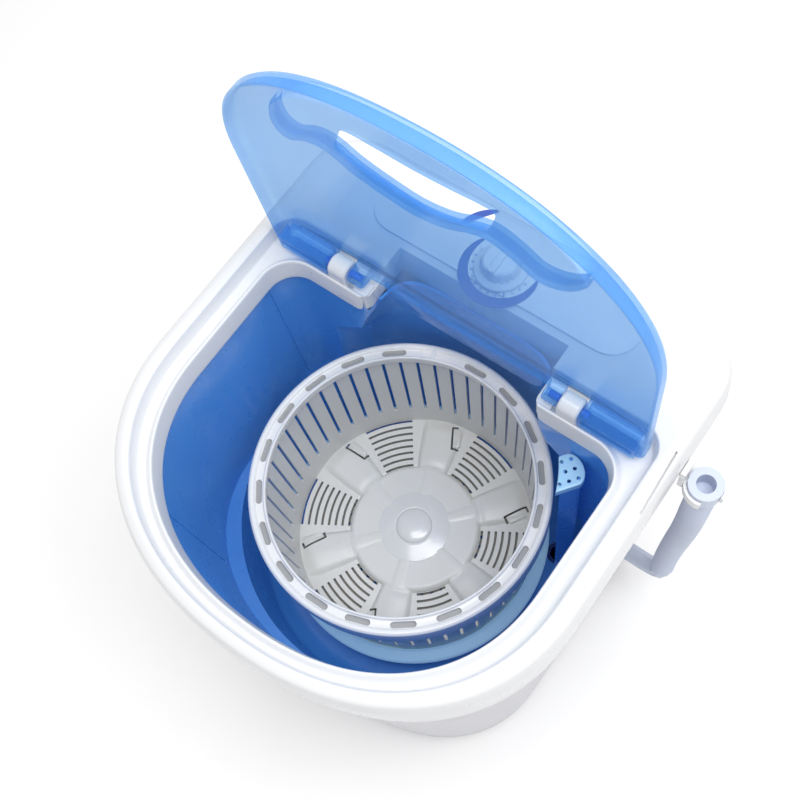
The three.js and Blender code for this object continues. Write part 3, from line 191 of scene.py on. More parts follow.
def block(x0, x1, y0, y1, z0, z1, corner=0.0, soft=0.0):
    """An upright block, with rounded corners in plan and softened top and bottom edges."""
    def plan(inset):
        r = max(corner - inset, 0.01)
        points = []
        for cx, cy, start in ((x1, y1, 0), (x0, y1, 90), (x0, y0, 180), (x1, y0, 270)):
            sx = -1 if cx == x1 else 1
            sy = -1 if cy == y1 else 1
            for i in range(7):
                turn = math.radians(start + i * 15)
                x = cx + sx * (inset + r) + r * math.cos(turn)
                points.append((x, cy + sy * (inset + r) + r * math.sin(turn)))
        return np.array(points)
    if not soft:
        return skin([level(plan(0), z0), level(plan(0), z1)])
    levels = [level(plan(soft), z0), level(plan(soft * 0.3), z0 + soft * 0.3)]
    levels += [level(plan(0), z0 + soft), level(plan(0), z1 - soft)]
    levels += [level(plan(soft * 0.3), z1 - soft * 0.3), level(plan(soft), z1)]
    return skin(levels)


def side_block(points, x0, x1, soft=0.8):
    """A Y-Z outline carried from x0 to x1, with softened end edges."""
    flat = np.array(points, float)
    middle = flat.mean(axis=0)

    def at(x, inset):
        reach = np.linalg.norm(flat - middle, axis=1, keepdims=True)
        moved = flat - (flat - middle) / reach * inset
        return np.column_stack([np.full(len(flat), x), moved])
    return skin([at(x0, soft), at(x0 + soft, 0), at(x1 - soft, 0), at(x1, soft)])


def cross_rod(radius, x0, x1, y, z, steps=40):
    ring = circle(radius, steps) + np.array([y, z])
    return skin([np.column_stack([np.full(steps, x), ring]) for x in (x0, x1)])


def curve_span(a, b, c, d, steps):
    """Points of a Catmull-Rom curve from b up to c, with a before them and d after."""
    out = []
    for t in np.arange(steps) / steps:
        cubic = (3 * (b - c) + d - a) * t ** 3 + (2 * a - 5 * b + 4 * c - d) * t ** 2
        out.append(0.5 * (2 * b + (c - a) * t + cubic))
    return out


def smooth_loop(points, steps=8):
    """A closed curve through the points."""
    points = np.array(points, float)
    out = []
    for i in range(len(points)):
        out += curve_span(*(points[(i + k) % len(points)] for k in (-1, 0, 1, 2)), steps)
    return np.array(out)


def offset_loop(points, distance):
    """The loop moved along its own normals; a positive distance moves it outwards."""
    ahead, behind = np.roll(points, -1, axis=0), np.roll(points, 1, axis=0)
    along = ahead - behind
    normal = np.column_stack([along[:, 1], -along[:, 0]])
    normal /= np.linalg.norm(normal, axis=1, keepdims=True)
    area = np.sum(points[:, 0] * ahead[:, 1] - ahead[:, 0] * points[:, 1])
    return points + normal * distance * (1 if area > 0 else -1)


def solid(shape, name="tool"):
    points, faces = shape
    mesh = bpy.data.meshes.new(name)
    mesh.from_pydata([tuple(p) for p in points], [], faces)
    work = bmesh.new()
    work.from_mesh(mesh)
    bmesh.ops.remove_doubles(work, verts=work.verts, dist=1e-5)
    bmesh.ops.recalc_face_normals(work, faces=work.faces)
    work.to_mesh(mesh)
    work.free()
    obj = bpy.data.objects.new(name, mesh)
    bpy.context.scene.collection.objects.link(obj)
    return obj


def turn_about_axis(obj, degrees):
    obj.data.transform(Matrix.Rotation(math.radians(degrees), 4, "Z"))
    return obj


def moved(obj, x, y):
    obj.data.transform(Matrix.Translation((x, y, 0)))
    return obj


def upright_rod(radius, low, high, steps, x=0, y=0):
    return moved(solid(turned([(radius, low), (radius, high)], steps=steps)), x, y)


def mirrored_span(side, a, b):
    """The two ends of a span on one side of the middle, in rising order."""
    return sorted((side * a, side * b))


def baked(obj):
    """Applies the object's modifiers to its mesh."""
    bpy.context.view_layer.update()
    graph = bpy.context.evaluated_depsgraph_get()
    mesh = bpy.data.meshes.new_from_object(obj.evaluated_get(graph))
    obj.modifiers.clear()
    obj.data = mesh
    return obj


def combine(base, tools, operation):
    for tool in tools:
        modifier = base.modifiers.new(operation, "BOOLEAN")
        modifier.object = tool
        modifier.operation = operation
        modifier.solver = "MANIFOLD"
    baked(base)
    for tool in tools:
        bpy.data.objects.remove(tool)
    return base


def join(base, *tools):
    return combine(base, tools, "UNION")


def cut(base, *tools):
    return combine(base, tools, "DIFFERENCE")


def merged(objects):
    """Several separate solids as one object."""
    first = objects[0]
    work = bmesh.new()
    for obj in objects:
        work.from_mesh(obj.data)
    work.to_mesh(first.data)
    work.free()
    for obj in objects[1:]:
        bpy.data.objects.remove(obj)
    return first


def bevel(obj, width, angle=40, segments=2):
    modifier = obj.modifiers.new("edges", "BEVEL")
    modifier.width = width
    modifier.segments = segments
    modifier.limit_method = "ANGLE"
    modifier.angle_limit = math.radians(angle)
    return baked(obj)


LID_TURN = (
    Matrix.Translation((0, HINGE_Y, HINGE_Z))
    @ Matrix.Rotation(math.radians(-LID_OPEN), 4, "X")
    @ Matrix.Translation((0, -HINGE_Y, -HINGE_Z))
)


def settle(obj, name, body, material, nodes=(), place=None, angle=32):
    """Names a finished piece, puts it in the row frame and ties it to its CAD body."""
    obj.name = obj.data.name = name
    if place is not None:
        obj.data.transform(place)
    obj.data.transform(TO_ROW)
    obj.data.materials.clear()
    for each in material if isinstance(material, list) else [material]:
        obj.data.materials.append(each)
    obj.data.shade_smooth()
    obj.data.set_sharp_from_angle(angle=math.radians(angle))
    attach(obj, body)
    if nodes:
        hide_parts(*nodes)
    return obj


# ------------------------------------------------------------ materials
def node_tools(name):
    material = bpy.data.materials.new(name)
    material.use_nodes = True
    tree = material.node_tree
    return material, tree.nodes, tree.links, tree.nodes["Principled BSDF"]


def noise(nodes, links, scale, detail=3.0, roughness=0.5):
    place = nodes.new("ShaderNodeTexCoord")
    texture = nodes.new("ShaderNodeTexNoise")
    texture.inputs["Scale"].default_value = scale
    texture.inputs["Detail"].default_value = detail
    texture.inputs["Roughness"].default_value = roughness
    links.new(place.outputs["Object"], texture.inputs["Vector"])
    return texture.outputs["Fac"]


def ramp(nodes, links, source, low, high, start=0.3, end=0.7):
    """Colours or greys between low and high, as source goes from start to end."""
    blend = nodes.new("ShaderNodeValToRGB")
    for stop, place, value in zip(blend.color_ramp.elements, (start, end), (low, high)):
        stop.position = place
        stop.color = (*value, 1) if hasattr(value, "__len__") else (value, value, value, 1)
    links.new(source, blend.inputs["Fac"])
    return blend.outputs["Color"]


DRIFT_SCALE = 9.0
PATCH_SCALE = 40.0
SLOW_SCALE = 28.0
SLOW_SHARE = 0.06
SKIN_HEIGHT = 0.0004  # metres
COAT_ROUGHNESS = 0.12


def moulded(name, colour, shade=0.93, rough=(0.28, 0.40), grain=900.0, depth=0.05, coat=0.0, painted_glow=0.0):
    """Moulded plastic: slow colour drift, patchy gloss and a fine skin texture.
    Its last argument is an emission strength: painted light standing in for light soaking through a thin
    wall."""
    material, nodes, links, surface = node_tools(name)
    drift = noise(nodes, links, DRIFT_SCALE)
    darker = [c * shade for c in colour]
    links.new(ramp(nodes, links, drift, darker, colour), surface.inputs["Base Color"])
    patches = noise(nodes, links, PATCH_SCALE, 5.0)
    links.new(ramp(nodes, links, patches, rough[0], rough[1]), surface.inputs["Roughness"])
    fine = noise(nodes, links, grain, 2.0)
    slow = noise(nodes, links, SLOW_SCALE, 2.0)
    mix = nodes.new("ShaderNodeMath")
    mix.operation = "MULTIPLY_ADD"
    mix.inputs[1].default_value = SLOW_SHARE
    links.new(slow, mix.inputs[0])
    links.new(fine, mix.inputs[2])
    bump = nodes.new("ShaderNodeBump")
    bump.inputs["Strength"].default_value = depth
    bump.inputs["Distance"].default_value = SKIN_HEIGHT
    links.new(mix.outputs[0], bump.inputs["Height"])
    links.new(bump.outputs["Normal"], surface.inputs["Normal"])
    surface.inputs["Coat Weight"].default_value = coat
    surface.inputs["Coat Roughness"].default_value = COAT_ROUGHNESS
    # Painted light: the moulding glows in its own colour, at the given emission strength.
    surface.inputs["Emission Color"].default_value = (*colour, 1)
    surface.inputs["Emission Strength"].default_value = painted_glow
    return material


def clear_plastic(name, tint, body_colour, cover):
    """See-through coloured plastic: light passes tinted, and cover is how much is milky."""
    material, nodes, links, surface = node_tools(name)
    drift = noise(nodes, links, 14.0)
    darker = [c * 0.86 for c in body_colour]
    links.new(ramp(nodes, links, drift, darker, body_colour), surface.inputs["Base Color"])
    patches = noise(nodes, links, 55.0, 4.0)
    links.new(ramp(nodes, links, patches, 0.10, 0.20), surface.inputs["Roughness"])
    slow = noise(nodes, links, 22.0, 2.0)
    bump = nodes.new("ShaderNodeBump")
    bump.inputs["Strength"].default_value = 0.05
    bump.inputs["Distance"].default_value = 0.0005
    links.new(slow, bump.inputs["Height"])
    links.new(bump.outputs["Normal"], surface.inputs["Normal"])
    through = nodes.new("ShaderNodeBsdfTransparent")
    through.inputs["Color"].default_value = (*tint, 1)
    facing = nodes.new("ShaderNodeLayerWeight")
    facing.inputs["Blend"].default_value = 0.35
    milky = nodes.new("ShaderNodeMapRange")
    milky.inputs["To Min"].default_value = cover
    milky.inputs["To Max"].default_value = min(cover + 0.5, 0.95)
    links.new(facing.outputs["Facing"], milky.inputs["Value"])
    mix = nodes.new("ShaderNodeMixShader")
    links.new(milky.outputs["Result"], mix.inputs["Fac"])
    links.new(through.outputs[0], mix.inputs[1])
    links.new(surface.outputs[0], mix.inputs[2])
    links.new(mix.outputs[0], nodes["Material Output"].inputs["Surface"])
    return material


def metal(name, colour, rough=(0.25, 0.45), brushed=60.0):
    """Plated or turned metal with fine brushing."""
    material, nodes, links, surface = node_tools(name)
    surface.inputs["Metallic"].default_value = 0.9
    drift = noise(nodes, links, 30.0, 5.0)
    darker = [c * 0.8 for c in colour]
    links.new(ramp(nodes, links, drift, darker, colour), surface.inputs["Base Color"])
    place = nodes.new("ShaderNodeTexCoord")
    stretch = nodes.new("ShaderNodeMapping")
    stretch.inputs["Scale"].default_value = (brushed, brushed, brushed * 25)
    lines = nodes.new("ShaderNodeTexNoise")
    lines.inputs["Scale"].default_value = 1.0
    links.new(place.outputs["Object"], stretch.inputs["Vector"])
    links.new(stretch.outputs["Vector"], lines.inputs["Vector"])
    links.new(ramp(nodes, links, lines.outputs["Fac"], rough[0], rough[1]), surface.inputs["Roughness"])
    return material


WHITE = moulded("white_plastic", (0.80, 0.805, 0.82), 0.97, (0.26, 0.38), coat=0.2)
# Painted shade: a darker copy of the white plastic, for the cabinet's upright sides under the frame.
SHELL_WHITE_PAINTED_SHADE = moulded("shell_white_painted_shade", (0.60, 0.60, 0.64), 0.96, (0.34, 0.46), coat=0.1)
WHITE_MATT = moulded("white_matt", (0.86, 0.865, 0.875), 0.96, (0.42, 0.55), grain=1400, depth=0.10)
# Painted light: a faint emission lifts the tub's shaded walls.
TUB_BLUE = moulded("tub_blue", (0.075, 0.31, 0.80), 0.90, (0.24, 0.36), coat=0.25, painted_glow=0.035)
BASKET_WHITE = moulded("basket_grey", (0.73, 0.725, 0.70), 0.96, (0.32, 0.46), coat=0.1)
RIM_WHITE = moulded("rim_white", (0.86, 0.845, 0.80), 0.97, (0.24, 0.36), coat=0.2)
CAP_GREY = moulded("cap_grey", (0.74, 0.74, 0.74), 0.95, (0.16, 0.26), coat=0.4)
# Painted shade: dark grey for the beds in the rim's pockets, whose floors catch no shadow.
POCKET_PAINTED_SHADE = moulded("pocket_painted_shade", (0.36, 0.365, 0.37), 0.92, (0.4, 0.55))
VENT_GREY = moulded("vent_grey", (0.34, 0.33, 0.31), 0.85, (0.45, 0.6))
# Painted light: emission brightens the basket's shaded outer wall and base ring.
BASKET_OUTER_PAINTED_GLOW = moulded("basket_outer_painted_glow", (0.44, 0.72, 0.90), 0.94, (0.26, 0.38), coat=0.15, painted_glow=0.22)
PALE_BLUE = moulded("pale_blue", (0.36, 0.62, 0.84), 0.95, (0.26, 0.38), coat=0.15)
NAVY = moulded("navy_plastic", (0.010, 0.045, 0.30), 0.85, (0.18, 0.30), coat=0.4)
DEEP_BLUE = moulded("deep_blue", (0.025, 0.16, 0.72), 0.85, (0.12, 0.24), coat=0.5)
HOSE = moulded("hose_grey", (0.60, 0.66, 0.80), 0.92, (0.42, 0.58), grain=1200, depth=0.12)
RUBBER = moulded("rubber_black", (0.018, 0.018, 0.020), 0.8, (0.65, 0.85), grain=1600, depth=0.25)
BLACK = moulded("black_plastic", (0.014, 0.014, 0.016), 0.85, (0.40, 0.58), grain=1400, depth=0.15)
PRINT = moulded("blue_print", (0.045, 0.10, 0.42), 0.9, (0.35, 0.48))
STEEL = metal("steel", (0.62, 0.63, 0.65))
ZINC = metal("zinc", (0.50, 0.52, 0.54), (0.38, 0.6), 25.0)
CLEAR_BLUE = clear_plastic("clear_blue", (0.74, 0.89, 1.0), (0.17, 0.47, 1.0), 0.14)

# ------------------------------------------------------------ drain hose
HOSE_R = 11
HOSE_RIB = 1.2
HOSE_PITCH = 5.0
HOSE_ROUTE = [
    (0.190, 0.1270, 0.1125), (0.190, 0.1270, 0.140), (0.191, 0.1255, 0.175),
    (0.193, 0.1215, 0.220), (0.1955, 0.1155, 0.270), (0.1975, 0.1090, 0.320),
    (0.1986, 0.1040, 0.365), (0.199, 0.1022, 0.400), (0.199, 0.1020, 0.425),
]


def open_curve(points, steps=40):
    """An open curve through the points."""
    points = np.array([points[0], *points, points[-1]], float)
    points[0] = 2 * points[1] - points[2]
    points[-1] = 2 * points[-2] - points[-3]
    out = []
    for i in range(1, len(points) - 2):
        out += curve_span(*points[i - 1:i + 3], steps)
    out.append(points[-2])
    return np.array(out)


def ribbed_tube(path, radius, rib, pitch, sides=40):
    """A corrugated tube round a path, with flat ends."""
    along = np.gradient(path, axis=0)
    along /= np.linalg.norm(along, axis=1, keepdims=True)
    run = np.concatenate([[0], np.cumsum(np.linalg.norm(np.diff(path, axis=0), axis=1))])
    levels = []
    turns = np.arange(sides) / sides * 2 * math.pi
    for place, tangent, length in zip(path, along, run):
        across = np.cross(tangent, (0, 1, 0))
        across /= np.linalg.norm(across)
        other = np.cross(tangent, across)
        wave = 0.5 - 0.5 * math.cos(2 * math.pi * length / pitch)
        r = radius - rib * wave ** 1.5
        levels.append(place + r * (np.outer(np.cos(turns), across) + np.outer(np.sin(turns), other)))
    return skin(levels)


def make_hose():
    route = [(x, y + AXIS_Y * MM, z) for x, y, z in HOSE_ROUTE]
    path = open_curve(route)
    obj = solid(ribbed_tube(path, HOSE_R * MM, HOSE_RIB * MM, HOSE_PITCH * MM), "hose")
    obj.data.transform(TO_ROW.inverted())
    settle(obj, "drain_hose_tube", "cabinet", HOSE, ["drain_hose"], angle=60)


make_hose()


# ------------------------------------------------------------ cabinet
CABINET_BOTTOM = 6 - CREST
CABINET_TOP = -SKIRT_DEPTH + 12
CABINET_INSET = 6.5
PLINTH_HEIGHT = 26
REAR_WINDOW = (-87, 87, 150, 210, 48 - CREST, 292 - CREST)
OUTLET_R = 11
OUTLET_Y = 127
OUTLET_Z = 86 - CREST


def cabinet_outline(z, grow=0.0):
    """The cabinet's plan, which widens from the footprint to just inside the frame's skirt."""
    share = (z - CABINET_BOTTOM) / (CABINET_TOP - CABINET_BOTTOM)
    low, high = outline(FOOTPRINT, grow), outline(BODY, grow - CABINET_INSET)
    return low + (high - low) * share


def cabinet_side(z):
    return cabinet_outline(z)[:, 0].max()


def make_cabinet():
    plinth = CABINET_BOTTOM + PLINTH_HEIGHT
    heights = [(CABINET_BOTTOM, -2.5), (CABINET_BOTTOM + 2, 0), (plinth, 0), (plinth + 0.7, -1.3)]
    heights += [(plinth + 2.3, -1.3), (plinth + 3, 0), (CABINET_TOP - 1, 0), (CABINET_TOP, -0.8)]
    outside = [level(cabinet_outline(z, grow), z) for z, grow in heights]
    inside = [level(cabinet_outline(z, -WALL), z) for z in (CABINET_TOP, CABINET_BOTTOM)]
    shell = solid(skin(outside + inside, ring=True), "cabinet")
    window = block(*REAR_WINDOW, 8)
    side = cabinet_side(OUTLET_Z)
    drain = cross_rod(OUTLET_R, side - 20, side + 10, OUTLET_Y, OUTLET_Z)
    cut(shell, solid(window), solid(drain))
    # Painted shade: the cabinet takes the darker copy of the white plastic.
    return settle(shell, "cabinet_body", "cabinet", SHELL_WHITE_PAINTED_SHADE, ["cabinet_shell"])


# ------------------------------------------------------------ top frame
HOOK_BITE = (169, 193, 95.7, 108.3, -25.5, -22.5)
GROOVE = (-0.7, 0.7, -25, 25, 3.4, 12)
GROOVE_TURN = 2.75  # degrees
GROOVE_PLACE = (174.9, 73)


def make_frame():
    profile = [
        (BODY, -3, SKIRT_DEPTH), (BODY, 0, 18), (BODY, -1.0, 3), (BODY, -3.6, -DECK_RISE + 2.4),
        (BODY, -9, -DECK_RISE), (GUTTER, 0, -DECK_RISE), (GUTTER, -2.2, 4.5), (OPENING, 5, 6),
        (OPENING, 2, 1.2), (OPENING, 0.6, 0), (OPENING, -0.8, 0.6), (OPENING, -LIP_DRAFT, LIP_DEPTH),
        (OPENING, -LIP_DRAFT + 2.2, LIP_DEPTH), (OPENING, 1.2, 4), (OPENING, 5, 8.4),
        (GUTTER, 0, 7.4), (GUTTER, WALL, -DECK_RISE + WALL), (BODY, -9.5, -DECK_RISE + WALL),
        (BODY, -5.5, 2), (BODY, -WALL, 18), (BODY, -3 - WALL, SKIRT_DEPTH),
    ]
    levels = [level(outline(shape, grow), -drop) for shape, grow, drop in profile]
    ring = solid(skin(soften(levels, 2.0, ring=True), ring=True), "frame")
    lining = solid(niche(WALL, OPENING[2] - WALL, True))
    room = solid(niche(0, OPENING[2] - 20, False))
    body = cut(join(ring, lining), room)
    bevel(body, 1.2, 50)
    for side in (-1, 1):
        fill = mirrored_span(side, NICHE_HALF + 1, NICHE_HALF + 13)
        join(body, solid(block(*fill, OPENING[2] + 1, OPENING[2] + 13, -LIP_DEPTH + 0.6, -1.6)))
    return cut(body, *[niche_corner(side, -LIP_DEPTH - 6, 6) for side in (-1, 1)])


def niche_corner(side, low, high, reach=NICHE_CORNER_R):
    """The cutter that rounds the corner where the lid's well meets the opening."""
    span = mirrored_span(side, NICHE_HALF - 4, NICHE_HALF + reach)
    corner = solid(block(*span, OPENING[2] - 8, OPENING[2] + reach, low, high))
    middle_y = OPENING[2] + reach - WALL
    return cut(corner, upright_rod(reach, low - 1, high + 1, 64, side * (NICHE_HALF + reach), middle_y))


def niche(grow, front, shelf):
    """Room behind the opening for the lid's tongue, or the lining round it with its shelf."""
    low = -LIP_DEPTH - (0.2 if grow else 2)
    top = DECK_RISE + (0 if grow else 2)
    points = [(front, low), (121 + grow, low), (124 + grow, top)]
    if shelf:
        points += [(GUTTER[2], top), (GUTTER[2], -3.5), (front, -3.5)]
    else:
        points.append((front, top))
    half = NICHE_HALF + grow
    return side_block(points, -half, half, soft=0.01)


def hinge_arc(radius, start, steps):
    """Half a circle about the hinge line, from the start angle, as Y-Z points."""
    turns = np.linspace(start, start + math.pi, steps)
    return [(HINGE_Y + radius * math.cos(t), HINGE_Z + radius * math.sin(t)) for t in turns]


def hinge_post(side):
    base = -7
    middle = side * POST_X
    points = [(HINGE_Y - POST_R, base), (HINGE_Y + POST_R, base), *hinge_arc(POST_R, 0, 17)]
    post = solid(side_block(points, middle - POST_HALF, middle + POST_HALF, 1.2))
    bore_reach = 2 * POST_HALF
    bore = cross_rod(PIN_R + PIN_GAP, middle - bore_reach, middle + bore_reach, HINGE_Y, HINGE_Z)
    return cut(post, solid(bore))


def knob_hole():
    return upright_rod(KNOB_HOLE_R, 0, 20, 24, 0, KNOB_Y)


def finish_frame(body):
    """Adds the hinge posts and cuts the knob's hole, the hose hook's slot and the deck's groove."""
    join(body, hinge_post(-1), hinge_post(1))
    groove = moved(turn_about_axis(solid(block(*GROOVE)), GROOVE_TURN), *GROOVE_PLACE)
    cut(body, knob_hole(), solid(block(*HOOK_BITE)), groove)
    return settle(body, "top_frame_moulding", "cabinet", WHITE, ["top_frame"], angle=38)


# ------------------------------------------------------------ wash tub
CREASES = (169, 231.5, 15, 305)  # directions in degrees


def rear_bow(half, back, start, power, grow):
    """A level line bowed to the rear, with its ends at start."""
    turns = np.linspace(0, math.pi, 61)
    xs = (half + grow) * np.sign(np.cos(turns)) * np.abs(np.cos(turns)) ** (2 / power)
    ys = start + (back + grow - start) * np.abs(np.sin(turns)) ** (2 / power)
    return np.column_stack([xs, ys])


def tub_space(grow):
    """The tub's inside at grow 0, or its outside at grow WALL: D-shaped wall, bowl and rear bulge."""
    lift = 0 if grow else 1
    top = level(outline(OPENING, TUB_LIP + grow), -TUB_TOP + lift)
    low = level(outline(OPENING, TUB_LIP - TUB_DRAFT + grow), -TUB_LEDGE - grow)
    wall = solid(skin([top, low]))
    floor = -TUB_FLOOR - grow
    ledge = -TUB_LEDGE + (0 if grow else 8)
    sump_r = SUMP_R + grow
    sump = [(0, floor), (sump_r - 16, floor), (sump_r - 5, floor + 7), (sump_r, ledge), (0, ledge)]
    bowl = solid(turned(sump, 4.0))
    start = 40
    chord = math.sqrt(BULGE_R ** 2 - start ** 2)
    bows = [
        (chord, BULGE_R, NOSE_POWER, TUB_LEDGE + 20), (chord, BULGE_R, NOSE_POWER, 92),
        (88, BULGE_R - 5, 3, 60), (NICHE_HALF - 1.5, 119, 6, LIP_DEPTH + 0.5 - lift),
    ]
    levels = [level(rear_bow(half, back, start, power, grow), -drop) for half, back, power, drop in bows]
    return join(wall, bowl, solid(skin(levels)))


def wall_crease(direction, width=1.3, depth=0.9):
    """A thin upright groove in the tub's D-shaped wall, in the direction given in degrees."""
    heading = math.radians(direction)
    levels = []
    for drop in (TUB_TOP + 6, TUB_LEDGE - 14):
        share = (drop - TUB_TOP) / (TUB_LEDGE - TUB_TOP)
        flat = outline(OPENING, TUB_LIP - TUB_DRAFT * share)
        angles = np.arctan2(flat[:, 1], flat[:, 0])
        i = int(np.argmin(np.abs(np.angle(np.exp(1j * (angles - heading))))))
        along = flat[(i + 1) % len(flat)] - flat[i - 1]
        along /= np.linalg.norm(along)
        out = np.array([along[1], -along[0]])
        out *= np.sign(out @ flat[i])
        spot = flat[i]
        corners = [
            spot - along * width / 2 - out * 3, spot + along * width / 2 - out * 3,
            spot + along * width / 2 + out * depth, spot - along * width / 2 + out * depth,
        ]
        levels.append(level(np.array(corners), -drop))
    return solid(skin(levels))


def make_tub():
    shell = cut(tub_space(WALL), tub_space(0))
    lining = NICHE_HALF + WALL + 0.3
    passage = solid(block(-lining, lining, OPENING[2] - 4, 144, -LIP_DEPTH - 0.5, 0))
    hub_hole = upright_rod(HUB_HOLE_R, -TUB_FLOOR - 20, -TUB_FLOOR + 20, 48)
    drain_hole = upright_rod(DRAIN_HOLE_R, -TUB_FLOOR - 20, -TUB_FLOOR + 3, 48, *DRAIN_SPOT)
    cut(shell, passage, *[niche_corner(side, -64, -10, 13) for side in (-1, 1)])
    pipe_top = OVERFLOW_TOP - 2.5
    join(shell, overflow_block(-OVERFLOW_WALL - 0.3, -TUB_FLOOR - 1, pipe_top))
    foot_x, foot_y = overflow_point(-OVERFLOW_HALF, 0)
    foot_plan = (foot_x - FOOT_HALF, foot_x + FOOT_HALF, foot_y - FOOT_HALF, foot_y + FOOT_HALF)
    foot = solid(block(*foot_plan, -TUB_FLOOR, -TUB_FLOOR + FOOT_HEIGHT))
    cut(shell, overflow_block(-OVERFLOW_WALL - 2.7, -TUB_FLOOR, pipe_top + 10), foot, hub_hole, drain_hole)
    bevel(shell, 1.0, 30)
    cut(shell, *[wall_crease(direction) for direction in CREASES])
    return settle(shell, "wash_tub_moulding", "cabinet", TUB_BLUE, ["wash_tub"], angle=35)


# ------------------------------------------------------------ overflow pipe's plan and cap
OVERFLOW_AT = (114.7, 66.9)
OVERFLOW_HALF = 12.5
OVERFLOW_END = 8.3
OVERFLOW_TURN = math.radians(53)
OVERFLOW_CLEAR = 122.8
OVERFLOW_TOP = -50
OVERFLOW_WALL = 2
FOOT_HALF = 6
FOOT_HEIGHT = 13
STRAINER_HOLE_R = 1.5
STRAINER_START = 1.7
STRAINER_PITCH = 7.2
STRAINER_SPREAD = 7.7


def overflow_point(along, across):
    ax, ay = math.cos(OVERFLOW_TURN), math.sin(OVERFLOW_TURN)
    return OVERFLOW_AT[0] + along * ax - across * ay, OVERFLOW_AT[1] + along * ay + across * ax


def overflow_plan(grow):
    """An arc beside the basket's rim, straight sides and a bowed outer end."""
    ax, ay = math.cos(OVERFLOW_TURN), math.sin(OVERFLOW_TURN)
    reach = OVERFLOW_AT[0] * ax + OVERFLOW_AT[1] * ay
    aside = OVERFLOW_AT[1] * ax - OVERFLOW_AT[0] * ay
    points = []
    for t in np.linspace(1, -1, 17):
        across = (OVERFLOW_HALF + grow) * t
        along = math.sqrt((OVERFLOW_CLEAR - grow) ** 2 - (across + aside) ** 2) - reach
        points.append(overflow_point(along, across))
    for turn in np.linspace(-math.pi / 2, math.pi / 2, 33):
        along = (OVERFLOW_END + grow) * math.cos(turn)
        points.append(overflow_point(along, (OVERFLOW_HALF + grow) * math.sin(turn)))
    return np.array(points)


def overflow_block(grow, low, high):
    return solid(skin([level(overflow_plan(grow), low), level(overflow_plan(grow), high)]))


def make_overflow():
    top = OVERFLOW_TOP
    levels = [(0, top - 8), (0, top - 0.9), (-0.3, top - 0.25), (-1, top)]
    cap = solid(skin([level(overflow_plan(grow), z) for grow, z in levels]))
    holes = [overflow_block(-OVERFLOW_WALL, top - 20, top - 2.2)]
    for row in range(3):
        for column in (-1, 0, 1):
            if row == 2 and column == 1:
                continue
            spot = overflow_point(STRAINER_START - STRAINER_PITCH * row, STRAINER_SPREAD * column)
            holes.append(upright_rod(STRAINER_HOLE_R, top - 5, top + 5, 20, *spot))
    cut(cap, *holes)
    return settle(cap, "overflow_strainer", "cabinet", PALE_BLUE, ["overflow_cover"], angle=40)


# ------------------------------------------------------------ spin basket
SECTORS = 6
SECTOR_STEP = 360 // SECTORS
SECTOR_TURN = 19.7  # degrees from +X to the middle of the first vent sector
VENT_HALF = 12.4  # degrees
VENT_ROWS = 8
VENT_START = 58.4
VENT_PITCH = 6.15
VENT_WIDTH = 2.2
ARM_START = 16.5  # degrees from a sector's middle to the foot of the next arm, at the disc
ARM_WIDEN = 2.6
ARM_BLEND = 3.4
ARM_RISE = 5.5
ARM_TURNS = (15.4, 16.6, 17.6, 18.6, 19.6, 20.6, 21.8, 23, 25, 27.5, 30)  # degrees from a sector's middle
DISC_ROWS = (0.02, 12, 24, 36, 46, 52, 53.4, 54, 54.6, 55.3, 56, 57)
SLOT_STEP = 360 / SLOT_COUNT
SLOT_TURN = 2.7
SLOT_HALF = 0.74  # degrees
SLOT_TOP = -121
SLOT_BOTTOM = -214
HOOK_TURN = 11.5  # degrees
HOOK_PLACE = (89.3, -10.2)
RIM_HEIGHT = 11
RIM_SKIRT = 13
RIM_POCKETS = 20
RIM_POCKET_TURN = 2  # degrees
RIM_TAB_PLACE = 6
RIM_TAB_TURN = 111  # degrees


def smooth_step(x):
    x = np.clip(x, 0, 1)
    return x * x * (3 - 2 * x)


def floor_height(radius, off):
    """Basket floor: a raised disc and six raised arms between sunk vent sectors."""
    foot = ARM_START + ARM_WIDEN * (radius - DISC_R) / (BASKET_FLOOR_R - DISC_R)
    arm = smooth_step((off - foot) / ARM_BLEND)
    disc = 1 - smooth_step((radius - DISC_R) / 3.0)
    crown = 0.72 + 0.28 * smooth_step((off - foot) / 12)
    tail = 1 - 0.75 * smooth_step((radius - 92) / 13)
    waist = 1 - 0.22 * math.exp(-((radius - DISC_R - 5) / 3.0) ** 2)
    return BASKET_FLOOR + ARM_RISE * max(disc * 0.9, arm * tail * crown * waist)


def off_sector(turn):
    """Degrees from a direction to the middle of the nearest vent sector."""
    return abs((turn - SECTOR_TURN + SECTOR_STEP / 2) % SECTOR_STEP - SECTOR_STEP / 2)


def in_slot(turn):
    return abs(((turn - SLOT_TURN) / SLOT_STEP) % 1 - 0.5) * SLOT_STEP < SLOT_HALF


def basket_turns():
    """The directions of the basket's mesh: slot edges, vent edges and the arms' slopes."""
    turns = set()
    for i in range(SLOT_COUNT):
        middle = (i + 0.5) * SLOT_STEP + SLOT_TURN
        turns.update(round((middle + d) % 360, 3) for d in (-SLOT_HALF, SLOT_HALF, -2.4, 2.4, 3.7))
    for i in range(SECTORS):
        middle = i * SECTOR_STEP + SECTOR_TURN
        for d in (0, VENT_HALF, *ARM_TURNS):
            turns.update((round((middle + d) % 360, 3), round((middle - d) % 360, 3)))
    turns = np.array(sorted(turns))
    keep = np.concatenate([[True], np.diff(turns) > 0.12])
    return turns[keep]


